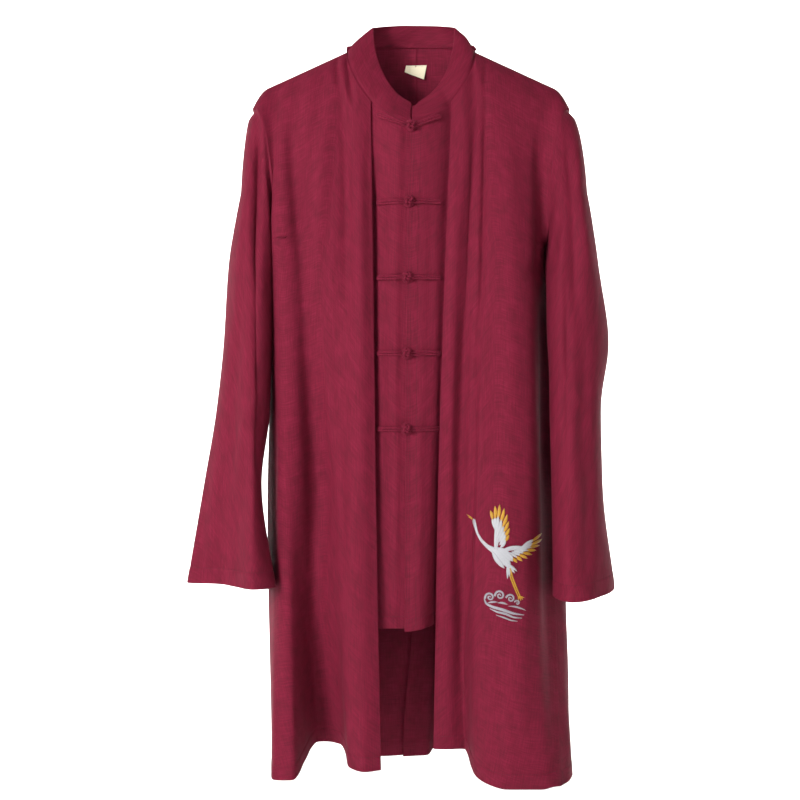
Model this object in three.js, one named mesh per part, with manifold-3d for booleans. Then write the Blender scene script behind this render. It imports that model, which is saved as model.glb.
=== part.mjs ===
// A long tang robe of burgundy cloth, hollow and hanging from its neck and shoulders.
// Millimetres, +Z up. The front faces -Y, and left and right are the wearer's, so the right side is at -X.
// The origin is midway between the two points where shoulder seam and collar meet: there the robe is held.
import * as THREE from 'three';
import Module from 'manifold-3d';
import { mergeVertices } from 'three/addons/utils/BufferGeometryUtils.js';

const wasm = await Module();
wasm.setup();

// Driving dimensions.
const cloth = { wall: 1.8, collarWall: 2.4, setBack: 0.2 };
const neck = { half: 90, drop: 113, rise: 22, roundness: 1.65, depth: 60, frontSlope: 0.3, backSlope: 1.6 };
const shoulder = { slope: 0.46, tip: 222, roundFrom: 200, rounding: 0.042, fall: 45, fallPower: 0.75 };
const underarm = { x: 189, y: 8, z: -270, frontDepth: 58, backDepth: 52, headOut: 33, bow: 0.45 };
const sleeve = { rowSpread: 1.4, headShare: 0.34, seamLean: 0.35 };
const vent = { top: -740, open: 35, gap: 2.6, lapStart: 70, lapEnd: 240, lap: 9, outward: 10 };
const innerFront = {
  hem: -796, cornerDrop: 5, lap: 15, seamIn: 32, bend: 1.14, topTuck: 3, reach: 5,
  recess: 12, recessFrom: -120, recessTo: -230, drift: 0.1, edgeGap: 0.4, panelGap: 0.9, lapGap: 0.7,
};
const frog = {
  count: 5, first: -118, pitch: 102, armLeft: 46, armRight: 39, firstRise: 17, firstBend: 1.3,
  cord: 1.6, gap: 0.6, ring: 7.6, ringLift: 3.6,
  ball: 5.6, lobes: 4, lobeDepth: 0.07, ballOut: 6.9, stem: 2.2, stemLength: 5, stemOut: 1.9,
};
const label = {
  corners: [[-6.5, -4], [23, -4], [19, -25], [-8.5, -14]], curl: [0, 0, 5, 3.5], gap: 0.3, tape: 1,
};

// How finely the cloth is divided: rows down a piece, and columns from the middle to the side.
const rows = { armhole: 8, side: 17, sleeve: 20, inner: 14, collar: 3 };
const columns = {
  front: 18, frontNeck: 4, backRight: 15, backLeft: 17, backNeck: 5, innerRight: 11, innerLeft: 9,
};
const collarSteps = 5;

// Heights at which the fold tables give their values: yoke, chest, hip and hem.
const heights = [-110, -300, -640, -1000];

// One row for each fold line of a panel, from its front or middle edge to the side: where the line lies at
// those heights, and how low the hem hangs on it. The side seam and armhole close the panel.
const folds = {
  frontRight: [
    { name: 'edge', x: [-55, -52, -47.5, -41], y: [-52, -60, -66, -58], hem: -985 },
    { name: 'edge ridge', x: [-76, -70, -66, -63], y: [-55, -67, -72, -66], hem: -985 },
    { name: 'flank', x: [-97, -90, -92, -83], y: [-50, -57, -64, -48], hem: -985 },
    { name: 'valley start', x: [-132, -124, -112, -97], y: [-52, -62, -50, 12], hem: -971 },
    { name: 'valley', x: [-160, -153, -136, -132], y: [-47, -49, -26, 26], hem: -972 },
    { name: 'side column', x: [-176, -172, -168, -160], y: [-47, -50, -46, -54], hem: -1000 },
    { name: 'side turn', x: [-187, -185, -185, -187], y: [-42, -36, -26, -50], hem: -1001 },
  ],
  frontLeft: [
    { name: 'edge', x: [54, 46, 36, 31.5], y: [-52, -58, -44, 2], hem: -975 },
    { name: 'strip', x: [70, 60, 52, 54], y: [-54, -62, -50, -3], hem: -974 },
    { name: 'strip fold', x: [86, 75, 66, 76], y: [-48, -50, -42, 2], hem: -975 },
    { name: 'step', x: [101, 92, 86, 85], y: [-53, -63, -68, -54], hem: -992 },
    { name: 'broad ridge', x: [135, 132, 128, 125], y: [-53, -68, -78, -89], hem: -1000 },
    { name: 'far flank', x: [160, 158, 168, 170], y: [-47, -54, -56, -89], hem: -1000 },
    { name: 'sleeve shadow', x: [183, 180, 187, 188], y: [-44, -22, -8, -85], hem: -998 },
  ],
  backRight: [
    { name: 'middle', x: [8, 6, 3, -2], y: [55, 59, 62, 64], hem: -1007 },
    { name: 'inner', x: [-46, -48, -50, -48], y: [56, 63, 68, 62], hem: -1006 },
    { name: 'blade', x: [-92, -96, -98, -98], y: [55, 58, 60, 96], hem: -990 },
    { name: 'outer', x: [-140, -140, -148, -144], y: [52, 54, 66, 94], hem: -990 },
    { name: 'turn', x: [-182, -176, -188, -186], y: [46, 38, 46, 44], hem: -1000 },
  ],
  backLeft: [
    { name: 'middle', x: [8, 6, 3, -2], y: [55, 59, 62, 64], hem: -1007 },
    { name: 'lap edge', x: [30, 32, 36, 24], y: [56, 62, 66, 66], hem: -1006 },
    { name: 'behind lap', x: [50, 52, 52, 36], y: [56, 63, 70, 97], hem: -1005 },
    { name: 'blade', x: [96, 98, 100, 100], y: [55, 58, 62, 92], hem: -1004 },
    { name: 'outer', x: [140, 142, 158, 162], y: [52, 54, 66, 84], hem: -1003 },
    { name: 'turn', x: [182, 178, 212, 214], y: [46, 38, 52, 52], hem: -1002 },
    { name: 'side', x: [185, 184, 220, 222], y: [40, 24, 34, -4], hem: -1001 },
    { name: 'front corner', x: [187, 185.5, 212, 215], y: [30, 14, 20, -52], hem: -1000 },
  ],
};

// The side seams below the underarm, at chest, hip and hem.
const sideHeights = [-270, -640, -1000];
const sideSeam = {
  right: { x: [-189, -203, -195], y: [8, 14, 4], hem: -1001 },
  left: { x: [189, 203, 198.5], y: [8, 8, -76], hem: -1000 },
};

// Where the sleeves' long folds lie, at six heights, going round from the outside over the front.
const sleeveHeights = [-200, -300, -410, -500, -600, -740];
const sleeveFolds = {
  right: [
    { name: 'outside', x: [-237, -254, -261, -271, -288, -312],
      y: [-4, -4, -4, -5, -6, -8], cuff: -741 },
    { name: 'outer front', x: [-228, -238, -242, -248, -256, -262],
      y: [-44, -48, -46, -44, -38, -22], cuff: -741 },
    { name: 'front ridge', x: [-205, -207, -207, -208, -212, -211],
      y: [-60, -64, -64, -66, -69, -76], cuff: -739 },
    { name: 'inside', x: [-190, -190, -192, -194, -205, -184.5],
      y: [-25, -22, -24, -27, -32, -53], cuff: -740 },
    { name: 'inner back', x: [-198, -210, -212, -216, -226, -226],
      y: [36, 34, 31, 28, 26, 24], cuff: -741 },
    { name: 'outer back', x: [-226, -240, -244, -252, -266, -284],
      y: [38, 38, 37, 34, 31, 34], cuff: -741 },
  ],
  left: [
    { name: 'outside', x: [244, 259, 275.5, 264, 265, 281],
      y: [-4, -6, -6, -6, -12, -14], cuff: -746 },
    { name: 'outer front', x: [234, 244, 250, 248, 246, 244],
      y: [-46, -58, -56, -58, -67, -80], cuff: -750 },
    { name: 'front ridge', x: [206, 205, 204, 204, 206, 208],
      y: [-60, -66, -70, -77, -84, -92], cuff: -753 },
    { name: 'inside', x: [190, 190, 190, 189, 190, 190],
      y: [-26, -30, -36, -42, -47, -54], cuff: -751 },
    { name: 'inner back', x: [200, 210, 213, 214, 215, 222],
      y: [34, 26, 20, 11, 4, -2], cuff: -748 },
    { name: 'outer back', x: [230, 244, 252, 248, 248, 260],
      y: [38, 38, 38, 32, 26, 24], cuff: -746 },
  ],
};

// The collar's top edge: half width, and height and depth at front, side and back.
const collarTop = {
  half: 57, shift: 4, z: [-80, 35, 50], y: [-38, -1, 38], bend: 0.88, opening: 1.2,
  corner: 6, cornerAngle: 9, swell: 14,
};

const palette = { cloth: '#7f2038', cord: '#86243c', label: '#d9d2bc' };

// A monotone cubic through values at knots, held level past both ends.
function smooth(knots, values) {
  const rising = knots[1] > knots[0];
  const k = rising ? knots : [...knots].reverse();
  const v = rising ? values : [...values].reverse();
  const step = k.slice(1).map((x, i) => x - k[i]);
  const slope = step.map((h, i) => (v[i + 1] - v[i]) / h);
  const tangent = v.map((_, i) => {
    if (i === 0) return slope[0];
    if (i === v.length - 1) return slope[i - 1];
    const [a, b, p, q] = [slope[i - 1], slope[i], step[i - 1], step[i]];
    return a * b <= 0 ? 0 : (3 * (p + q)) / ((2 * q + p) / a + (q + 2 * p) / b);
  });
  return (x) => {
    if (x <= k[0]) return v[0];
    if (x >= k[k.length - 1]) return v[v.length - 1];
    const i = k.findIndex((_, n) => x < k[n + 1]);
    const t = (x - k[i]) / step[i];
    const a = (1 + 2 * t) * (1 - t) ** 2 * v[i] + t * t * (3 - 2 * t) * v[i + 1];
    return a + step[i] * (t * (1 - t) ** 2 * tangent[i] - t * t * (1 - t) * tangent[i + 1]);
  };
}

const clamp = (t) => Math.min(1, Math.max(0, t));
const ease = (t) => clamp(t) ** 2 * (3 - 2 * clamp(t));
const mix = (a, b, t) => a + (b - a) * t;

// Height of the shoulder line over x. Inside the neck it goes on rising, to shape the cloth around it.
function shoulderZ(x, front) {
  const out = Math.abs(x) - neck.half;
  if (out < 0) return -out * (front ? neck.frontSlope : neck.backSlope);
  return -out * shoulder.slope - shoulder.rounding * Math.max(0, Math.abs(x) - shoulder.roundFrom) ** 2;
}

// How much of its full depth the cloth has at a drop below the shoulder line.
const fullness = (drop) => 1 - Math.exp(-((Math.max(drop, 0) / shoulder.fall) ** shoulder.fallPower));

const tipZ = shoulderZ(shoulder.tip);

// Height of the neck seam over x, in front and behind.
function neckZ(x, front) {
  const share = Math.min(1, Math.abs(x) / neck.half);
  if (front) return -neck.drop * (1 - share ** neck.roundness) ** (1 / neck.roundness);
  return neck.rise * Math.sqrt(1 - share * share);
}

// The armhole above the underarm, as a share of the way down it.
const armholeShare = (z) => Math.acos(2 * clamp((z - underarm.z) / (tipZ - underarm.z)) - 1) / Math.PI;

// The last station of a panel at height z: the armhole, then the side seam.
function sideAt(side, front) {
  const sign = side === 'right' ? -1 : 1;
  const seam = sideSeam[side];
  const seamX = smooth(sideHeights, seam.x);
  const seamY = smooth(sideHeights, seam.y);
  return (z) => {
    if (z <= underarm.z) return [seamX(z), seamY(z)];
    const a = armholeShare(z);
    const depth = front ? -underarm.frontDepth : underarm.backDepth;
    const x = sign * (underarm.x + underarm.headOut * (1 - a) ** 3);
    return [x, depth * Math.cos((Math.PI * a) / 2) ** underarm.bow + underarm.y * a];
  };
}

// A body panel: its surface as a function of station and height, and the height of each row on a station.
function bodyPanel(name, side, front) {
  const lines = folds[name];
  const last = lines.length;
  const stations = [...lines.keys(), last];
  const xs = lines.map((f) => smooth(heights, f.x));
  const ys = lines.map((f) => smooth(heights, f.y));
  const sideLine = sideAt(side, front);
  const hem = smooth(stations, [...lines.map((f) => f.hem), sideSeam[side].hem]);
  const lapSign = side === 'right' ? 1 : -1;
  const at = (s, z) => {
    const end = sideLine(z);
    const px = [...xs.map((f) => f(z)), end[0]];
    const py = [...ys.map((f) => f(z)), end[1]];
    if (!front && z < vent.top) {
      const below = vent.top - z;
      const lapped = ease((below - vent.lapStart) / (vent.lapEnd - vent.lapStart));
      px[0] += lapSign * vent.lap * lapped;
      if (side === 'right') py[0] += vent.gap * clamp(below / vent.open) + vent.outward * lapped;
    }
    const x = smooth(stations, px)(s);
    const full = fullness(shoulderZ(x, front) - z);
    return new THREE.Vector3(x, smooth(stations, py)(s) * full, z);
  };
  const stationAtX = (x, z) => {
    let [low, high] = [0, last];
    for (let i = 0; i < 40; i++) {
      const middle = (low + high) / 2;
      if (Math.abs(at(middle, z).x) < Math.abs(x)) low = middle;
      else high = middle;
    }
    return (low + high) / 2;
  };
  const topZ = (s) => {
    const { x } = at(s, heights[0]);
    if (Math.abs(x) < neck.half) return neckZ(x, front);
    let z = tipZ;
    for (let i = 0; i < 30; i++) z = mix(z, Math.max(shoulderZ(at(s, z).x), tipZ), 0.6);
    return s >= last ? tipZ : z;
  };
  const rowZ = (s, v) => {
    const split = rows.armhole / (rows.armhole + rows.side);
    if (v >= split) return mix(underarm.z, hem(s), (v - split) / (1 - split));
    const a = v / split;
    return mix(topZ(s), underarm.z, mix(a, (1 - Math.cos(Math.PI * a)) / 2, (s / last) ** 3));
  };
  return { at, last, rowZ, stationAtX, depthAt: (x, z) => at(stationAtX(x, z), z).y };
}

const panels = {
  frontRight: bodyPanel('frontRight', 'right', true),
  frontLeft: bodyPanel('frontLeft', 'left', true),
  backRight: bodyPanel('backRight', 'right', false),
  backLeft: bodyPanel('backLeft', 'left', false),
};

// Stations that share out evenly the cloth between two stations, measured at mid height and along the hem.
const measuredAt = [-450, -990];
function evenStations(panel, from, to, parts) {
  const samples = 120;
  const fine = Array.from({ length: samples + 1 }, (_, i) => mix(from, to, i / samples));
  const lengths = [0];
  for (let i = 1; i < fine.length; i++) {
    const step = measuredAt.map((z) => panel.at(fine[i], z).distanceTo(panel.at(fine[i - 1], z)));
    lengths.push(lengths[i - 1] + step[0] + step[1]);
  }
  return Array.from({ length: parts + 1 }, (_, i) => {
    const target = (lengths[samples] * i) / parts;
    const at = Math.max(1, lengths.findIndex((length) => length >= target - 1e-6));
    return mix(fine[at - 1], fine[at], (target - lengths[at - 1]) / (lengths[at] - lengths[at - 1]));
  });
}

// Stations of a panel's columns: closer towards the shoulder point on the neck, then even to the side.
const neckCrowding = 1.8;
function columnStations(panel, neckCount, count) {
  const corner = panel.stationAtX(neck.half, heights[0]);
  const start = panel.at(0, heights[0]).x;
  const cross = Math.sign(start) * Math.sign(panel.at(corner, heights[0]).x) < 0;
  const across = Array.from({ length: neckCount }, (_, i) => {
    const share = 1 - (1 - i / neckCount) ** neckCrowding;
    return cross ? corner * share : panel.stationAtX(mix(Math.abs(start), neck.half, share), heights[0]);
  });
  across[0] = 0;
  const even = evenStations(panel, corner, panel.last, count - neckCount);
  even.splice(-1, 0, mix(even[even.length - 2], panel.last, 0.5));
  return [...across, ...even];
}

function panelGrid(panel, stations) {
  const count = rows.armhole + rows.side;
  return Array.from({ length: count + 1 }, (_, r) =>
    stations.map((s) => panel.at(s, panel.rowZ(s, r / count))));
}

// Unit normals of a grid of points, from its own rows and columns.
function gridNormals(grid, sign, round = false) {
  const width = grid[0].length;
  return grid.map((row, r) =>
    row.map((_, c) => {
      const above = grid[Math.max(r - 1, 0)][c];
      const below = grid[Math.min(r + 1, grid.length - 1)][c];
      const before = row[round ? (c + width - 1) % width : Math.max(c - 1, 0)];
      const after = row[round ? (c + 1) % width : Math.min(c + 1, width - 1)];
      const across = after.clone().sub(before);
      return across.cross(below.clone().sub(above)).normalize().multiplyScalar(sign);
    }));
}

// Moves the edge points of a grid back from the sewing line, towards their neighbours.
function setBack(grid, sides, distance = cloth.setBack) {
  const from = grid.map((row) => row.map((p) => p.clone()));
  const [lastRow, lastColumn] = [grid.length - 1, grid[0].length - 1];
  const pull = (r, c, r2, c2) => {
    grid[r][c].add(from[r2][c2].clone().sub(from[r][c]).normalize().multiplyScalar(distance));
  };
  for (let r = 0; r <= lastRow; r++) {
    if (sides.includes('first')) pull(r, 0, r, 1);
    if (sides.includes('last')) pull(r, lastColumn, r, lastColumn - 1);
  }
  for (let c = 0; c <= lastColumn; c++) {
    if (sides.includes('top')) pull(0, c, 1, c);
    if (sides.includes('bottom')) pull(lastRow, c, lastRow - 1, c);
    if (sides.includes('shoulder') && Math.abs(from[0][c].x) > neck.half - 0.5) {
      grid[0][c].y += Math.sign(from[1][c].y) * distance;
    }
  }
}

// A closed wall from a grid of outer points: the inner face is moved in along the normals. The end faces of
// two walls that meet are split the same way, which for a back's armhole rows is the other way about.
function wallGeometry(grid, normals, thickness, round = false, turnedRows = 0) {
  const [count, width] = [grid.length, grid[0].length];
  const points = [];
  for (const inward of [0, thickness]) {
    grid.forEach((row, r) => row.forEach((p, c) => {
      points.push(...p.clone().addScaledVector(normals[r][c], -inward).toArray());
    }));
  }
  const id = (layer, r, c) => layer * count * width + r * width + (round ? c % width : c);
  const faces = [];
  const quad = (a, b, c, d) => faces.push(a, b, c, a, c, d);
  const spans = round ? width : width - 1;
  for (let r = 0; r < count - 1; r++) {
    for (let c = 0; c < spans; c++) {
      quad(id(0, r, c), id(0, r + 1, c), id(0, r + 1, c + 1), id(0, r, c + 1));
      quad(id(1, r, c), id(1, r, c + 1), id(1, r + 1, c + 1), id(1, r + 1, c));
    }
  }
  for (let c = 0; c < spans; c++) {
    quad(id(0, 0, c), id(0, 0, c + 1), id(1, 0, c + 1), id(1, 0, c));
    quad(id(0, count - 1, c + 1), id(0, count - 1, c), id(1, count - 1, c), id(1, count - 1, c + 1));
  }
  for (let r = 0; r < count - 1 && !round; r++) {
    quad(id(0, r + 1, 0), id(0, r, 0), id(1, r, 0), id(1, r + 1, 0));
    const end = [[0, r], [0, r + 1], [1, r + 1], [1, r]].map(([layer, row]) => id(layer, row, width - 1));
    if (r < turnedRows) end.push(end.shift());
    quad(...end);
  }
  const geometry = new THREE.BufferGeometry();
  geometry.setAttribute('position', new THREE.Float32BufferAttribute(points, 3));
  geometry.setIndex(faces);
  return faceOutward(geometry);
}

// Turns every face round if the closed mesh encloses a negative volume.
function faceOutward(geometry) {
  const p = geometry.attributes.position;
  const index = geometry.index.array;
  const [a, b, c] = [new THREE.Vector3(), new THREE.Vector3(), new THREE.Vector3()];
  let volume = 0;
  for (let i = 0; i < index.length; i += 3) {
    a.fromBufferAttribute(p, index[i]);
    b.fromBufferAttribute(p, index[i + 1]);
    c.fromBufferAttribute(p, index[i + 2]);
    volume += a.dot(b.clone().cross(c));
  }
  if (volume < 0) {
    for (let i = 0; i < index.length; i += 3) [index[i + 1], index[i + 2]] = [index[i + 2], index[i + 1]];
  }
  return geometry;
}

const stationLists = {
  frontRight: columnStations(panels.frontRight, columns.frontNeck, columns.front),
  frontLeft: columnStations(panels.frontLeft, columns.frontNeck, columns.front),
  backRight: columnStations(panels.backRight, columns.backNeck, columns.backRight),
  backLeft: columnStations(panels.backLeft, columns.backNeck, columns.backLeft),
};
const grids = {};
const normals = {};
for (const name of Object.keys(panels)) {
  grids[name] = panelGrid(panels[name], stationLists[name]);
  const leftSide = name.endsWith('Left');
  const front = name.startsWith('front');
  normals[name] = gridNormals(grids[name], leftSide === front ? -1 : 1);
}

// The armhole ring of one side: down the front panel's edge and up the back panel's.
function armholeRing(side) {
  const suffix = side === 'right' ? 'Right' : 'Left';
  const edge = (name) => grids[name].slice(0, rows.armhole + 1).map((row) => row[row.length - 1].clone());
  const down = edge(`front${suffix}`);
  const up = edge(`back${suffix}`).reverse().slice(1, -1);
  return [...down, ...up];
}
const armholes = { right: armholeRing('right'), left: armholeRing('left') };

// Both walls of a seam share one thickness direction, so that their ends stand face to face.
function ringNormals(ring) {
  const centre = ring.reduce((sum, p) => sum.add(p), new THREE.Vector3()).divideScalar(ring.length);
  return ring.map((p) => {
    const out = p.clone().sub(centre);
    out.x = Math.sign(p.x) * sleeve.seamLean * Math.max(0, out.z - underarm.z / 3);
    return out.normalize();
  });
}
for (const side of ['right', 'left']) {
  const suffix = side === 'right' ? 'Right' : 'Left';
  const [front, back] = [`front${suffix}`, `back${suffix}`];
  const ring = ringNormals(armholes[side]);
  const [lastFront, lastBack] = [grids[front][0].length - 1, grids[back][0].length - 1];
  for (let r = 0; r < grids[front].length; r++) {
    if (r <= rows.armhole) {
      normals[front][r][lastFront] = ring[r].clone();
      normals[back][r][lastBack] = ring[(ring.length - r) % ring.length].clone();
    } else {
      const shared = normals[front][r][lastFront].clone().add(normals[back][r][lastBack]).normalize();
      normals[front][r][lastFront] = shared;
      normals[back][r][lastBack] = shared.clone();
    }
  }
}
for (let r = 0; r < grids.backRight.length; r++) {
  if (grids.backRight[r][0].z < vent.top) break;
  const shared = normals.backRight[r][0].clone().add(normals.backLeft[r][0]).normalize();
  normals.backRight[r][0] = shared;
  normals.backLeft[r][0] = shared.clone();
}

// The neck seam's thickness direction: level in front, and halfway between collar and shoulder at the side.
function neckNormal(p) {
  const share = p.x / neck.half;
  return new THREE.Vector3(share, p.y / neck.depth, share * share).normalize();
}
for (const name of Object.keys(panels)) {
  grids[name][0].forEach((p, c) => {
    const sign = Math.sign(p.x);
    const lean = (shoulderZ(p.x) - shoulderZ(p.x + sign)) * sign;
    if (Math.abs(p.x) < neck.half + 0.5) normals[name][0][c] = neckNormal(p);
    else if (c < grids[name][0].length - 1) normals[name][0][c] = new THREE.Vector3(lean, 0, 1).normalize();
  });
}

// The neck seam's outer points, kept before the panels are set back, for the collar to stand on.
const neckPoints = (name) =>
  grids[name][0].filter((p) => Math.abs(p.x) < neck.half + 0.5).map((p) => p.clone());
const necks = Object.fromEntries(Object.keys(panels).map((name) => [name, neckPoints(name)]));

function sleeveGrid(side) {
  const ring = armholes[side];
  const lines = sleeveFolds[side];
  const xs = lines.map((f) => smooth(sleeveHeights, f.x));
  const ys = lines.map((f) => smooth(sleeveHeights, f.y));
  const loop = (values) => new THREE.CatmullRomCurve3(values, true, 'centripetal');
  const section = (share, z) =>
    loop(lines.map((_, i) => new THREE.Vector3(xs[i](z), ys[i](z), 0))).getPoint(share).setZ(z);
  const cuff = loop(lines.map((f, i) => new THREE.Vector3(i, 0, f.cuff)));
  return Array.from({ length: rows.sleeve + 1 }, (_, r) =>
    ring.map((start, c) => {
      const share = c / ring.length;
      const t = r / rows.sleeve;
      const z = mix(start.z, cuff.getPoint(share).z, t ** sleeve.rowSpread);
      const carry = clamp(1 - t / sleeve.headShare) ** 2;
      const offset = start.clone().sub(section(share, start.z)).multiplyScalar(carry);
      return section(share, z).add(offset).setZ(z);
    }));
}

function sleeveGeometry(side) {
  const grid = sleeveGrid(side);
  const facing = gridNormals(grid, side === 'right' ? -1 : 1, true);
  facing[0] = ringNormals(armholes[side]);
  setBack(grid, ['top'], 2 * cloth.setBack);
  return wallGeometry(grid, facing, cloth.wall, true);
}

// The short buttoned front: a sheet that hangs behind the long front edges and is sewn to their inside.
const frontEdge = { right: panels.frontRight, left: panels.frontLeft };
const innerMiddle = smooth([-110, -300, -640, -800], [-60, -61, -57, -50]);
const lapEdge = smooth([-116, -300, -800], [-1, -6, -9]);

function innerDepth(x, z) {
  const side = x < 0 ? 'right' : 'left';
  const edge = frontEdge[side].at(0, Math.min(z, tipZ));
  const recess = mix(cloth.wall + innerFront.edgeGap, innerFront.recess,
    ease((z - innerFront.recessFrom) / (innerFront.recessTo - innerFront.recessFrom)));
  const edgeY = edge.y + recess;
  const share = Math.abs(x / edge.x);
  if (share < 1) return mix(innerMiddle(z), edgeY, Math.min(1, innerFront.bend * share) ** 2);
  const past = Math.abs(x) - Math.abs(edge.x);
  const near = [-1, 0, 1].map((step) =>
    Math.sign(x) * (Math.abs(edge.x) + Math.max(0, past + step * innerFront.reach)));
  const behind = cloth.wall + innerFront.panelGap + Math.max(...near.map((px) =>
    frontEdge[side].depthAt(px, Math.min(z, neckZ(px, true)))));
  const close = ease(past / (innerFront.seamIn - innerFront.reach));
  return Math.max(behind, mix(edgeY + innerFront.drift * past, behind, close));
}

function innerGrid(side) {
  const count = side === 'right' ? columns.innerRight : columns.innerLeft;
  const sign = side === 'right' ? -1 : 1;
  return Array.from({ length: rows.inner + 1 }, (_, r) =>
    Array.from({ length: count + 1 }, (_, c) => {
      const t = r / rows.inner;
      const xAt = (z) => {
        const start = side === 'right' ? lapEdge(z) + innerFront.lap : lapEdge(z);
        const edge = frontEdge[side].at(0, z).x;
        return mix(start, edge + sign * innerFront.seamIn, c / count);
      };
      let z = heights[0];
      for (let i = 0; i < 8; i++) {
        const x = xAt(z);
        const under = ease((Math.abs(x) - 50) / 10) * innerFront.topTuck;
        const low = innerFront.hem - (side === 'left' ? innerFront.cornerDrop * clamp(1 - c / 4) : 0);
        z = mix(neckZ(x, true) - under, low, t);
      }
      const x = xAt(z);
      const lapped = ease((x - lapEdge(z) + innerFront.lap) / 10);
      const tuck = side === 'right' ? (cloth.wall + innerFront.lapGap) * lapped : 0;
      return new THREE.Vector3(x, innerDepth(x, z) + tuck, z);
    }));
}

const innerGrids = { right: innerGrid('right'), left: innerGrid('left') };

function innerGeometry(side) {
  const grid = innerGrids[side].map((row) => row.map((p) => p.clone()));
  const facing = gridNormals(grid, side === 'right' ? 1 : -1);
  facing[0].forEach((n) => n.setZ(0).normalize());
  setBack(grid, ['top']);
  return wallGeometry(grid, facing, cloth.wall);
}

// The standing collar: a band on the neck seam, open in front, that leans in towards its top edge.
function collarTopPoint(angle, sign) {
  const along = 1 - Math.cos(angle);
  const front = angle <= Math.PI / 2;
  const z = front
    ? mix(collarTop.z[0], collarTop.z[1], along ** collarTop.bend)
    : mix(collarTop.z[1], collarTop.z[2], along - 1);
  const y = front
    ? mix(collarTop.y[0], collarTop.y[1], along)
    : mix(collarTop.y[1], collarTop.y[2], along - 1);
  const corner = collarTop.corner * clamp(1 - THREE.MathUtils.radToDeg(angle) / collarTop.cornerAngle) ** 2;
  return new THREE.Vector3(sign * collarTop.half * Math.sin(angle) + collarTop.shift, y, z - corner);
}

function collarGeometry() {
  const base = [];
  for (const sign of [-1, 1]) {
    const suffix = sign < 0 ? 'Right' : 'Left';
    const edge = Math.abs(grids[`front${suffix}`][0][0].x);
    const half = [];
    for (let i = 0; i < collarSteps; i++) {
      const x = mix(collarTop.opening, edge, i / collarSteps);
      const y = innerDepth(sign * x, neckZ(x, true)) - (cloth.wall + 0.3) * (x / edge) ** 4;
      half.push({ point: new THREE.Vector3(sign * x, y, neckZ(x, true)), front: true });
    }
    half.push(...necks[`front${suffix}`].map((point) => ({ point, front: true })));
    const behind = necks[`back${suffix}`].map((point) => ({ point, front: false })).reverse().slice(1);
    const all = [...half, ...behind].map((b) => ({ ...b, sign }));
    base.push(...(sign < 0 ? all : all.reverse().slice(1)));
  }
  const grid = Array.from({ length: rows.collar + 1 }, (_, r) =>
    base.map(({ point, front, sign }) => {
      const across = Math.min(1, Math.abs(point.x) / neck.half);
      const reach = front || Math.sign(point.x) === sign ? across : -across;
      const angle = front ? Math.asin(across) : Math.PI - Math.asin(reach);
      const bottom = point.clone();
      const top = collarTopPoint(angle, sign);
      if (front && Math.abs(point.x) < 2 * collarTop.opening) top.x = point.x;
      const t = r / rows.collar;
      const swell = collarTop.swell * Math.sin(angle) ** 2 * t * (1 - t);
      const away = new THREE.Vector3(Math.sin(angle) * sign, -Math.cos(angle), 0);
      return bottom.lerp(top, t).addScaledVector(away, swell);
    })).reverse();
  const facing = gridNormals(grid, 1);
  const outward = facing[1][2].y < 0 ? 1 : -1;
  facing.forEach((row) => row.forEach((n) => n.multiplyScalar(outward)));
  facing[grid.length - 1] = grid[grid.length - 1].map(neckNormal);
  facing.forEach((row) => [row[0], row[row.length - 1]].forEach((n) => n.setX(0).normalize()));
  setBack(grid, ['bottom'], 2.5 * cloth.setBack);
  return wallGeometry(grid, facing, cloth.collarWall);
}

// A closed tube of any section along points: each section point is (along rise, along out).
function sweep(path, rise, out, section) {
  const points = [];
  path.forEach((p, i) => section(i / (path.length - 1)).forEach(([h, o]) => {
    points.push(...p.clone().addScaledVector(rise, h).addScaledVector(out, o).toArray());
  }));
  const n = section(0).length;
  const faces = [];
  for (let i = 0; i < path.length - 1; i++) {
    for (let j = 0; j < n; j++) {
      const [a, b] = [i * n + j, i * n + ((j + 1) % n)];
      faces.push(a, b, b + n, a, b + n, a + n);
    }
  }
  for (let j = 1; j < n - 1; j++) {
    const end = (path.length - 1) * n;
    faces.push(0, j + 1, j, end, end + j, end + j + 1);
  }
  const geometry = new THREE.BufferGeometry();
  geometry.setAttribute('position', new THREE.Float32BufferAttribute(points, 3));
  geometry.setIndex(faces);
  return faceOutward(geometry);
}

function toSolid(geometry) {
  const bare = geometry.clone();
  bare.deleteAttribute('normal');
  bare.deleteAttribute('uv');
  const merged = mergeVertices(bare, 1e-4);
  return new wasm.Manifold(new wasm.Mesh({
    numProp: 3,
    vertProperties: new Float32Array(merged.attributes.position.array),
    triVerts: new Uint32Array(merged.index.array),
  }));
}

function toGeometry(solid) {
  const mesh = solid.getMesh();
  const geometry = new THREE.BufferGeometry();
  geometry.setAttribute('position', new THREE.Float32BufferAttribute(mesh.vertProperties, 3));
  geometry.setIndex([...mesh.triVerts]);
  return geometry;
}

// Two cords side by side, flat beneath, as (rise, out) points.
const twinCord = (r) => [
  [2 * r, 0], [1.75 * r, 0.7 * r], [r, r], [0.3 * r, 0.7 * r], [-0.3 * r, 0.7 * r], [-r, r],
  [-1.75 * r, 0.7 * r], [-2 * r, 0], [-1.6 * r, -r], [1.6 * r, -r],
];

const up = new THREE.Vector3(0, 0, 1);
const outward = new THREE.Vector3(0, -1, 0);

const ray = new THREE.Raycaster();
const inFront = -300;
const innerMeshes = ['right', 'left'].map((side) => new THREE.Mesh(innerGeometry(side)));

// The depth of the short front's outer face at a place.
function faceAt(x, z) {
  ray.set(new THREE.Vector3(x, inFront, z), new THREE.Vector3(0, 1, 0));
  const hit = ray.intersectObjects(innerMeshes)[0];
  return hit ? hit.point.y : innerDepth(x, z);
}

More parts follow.
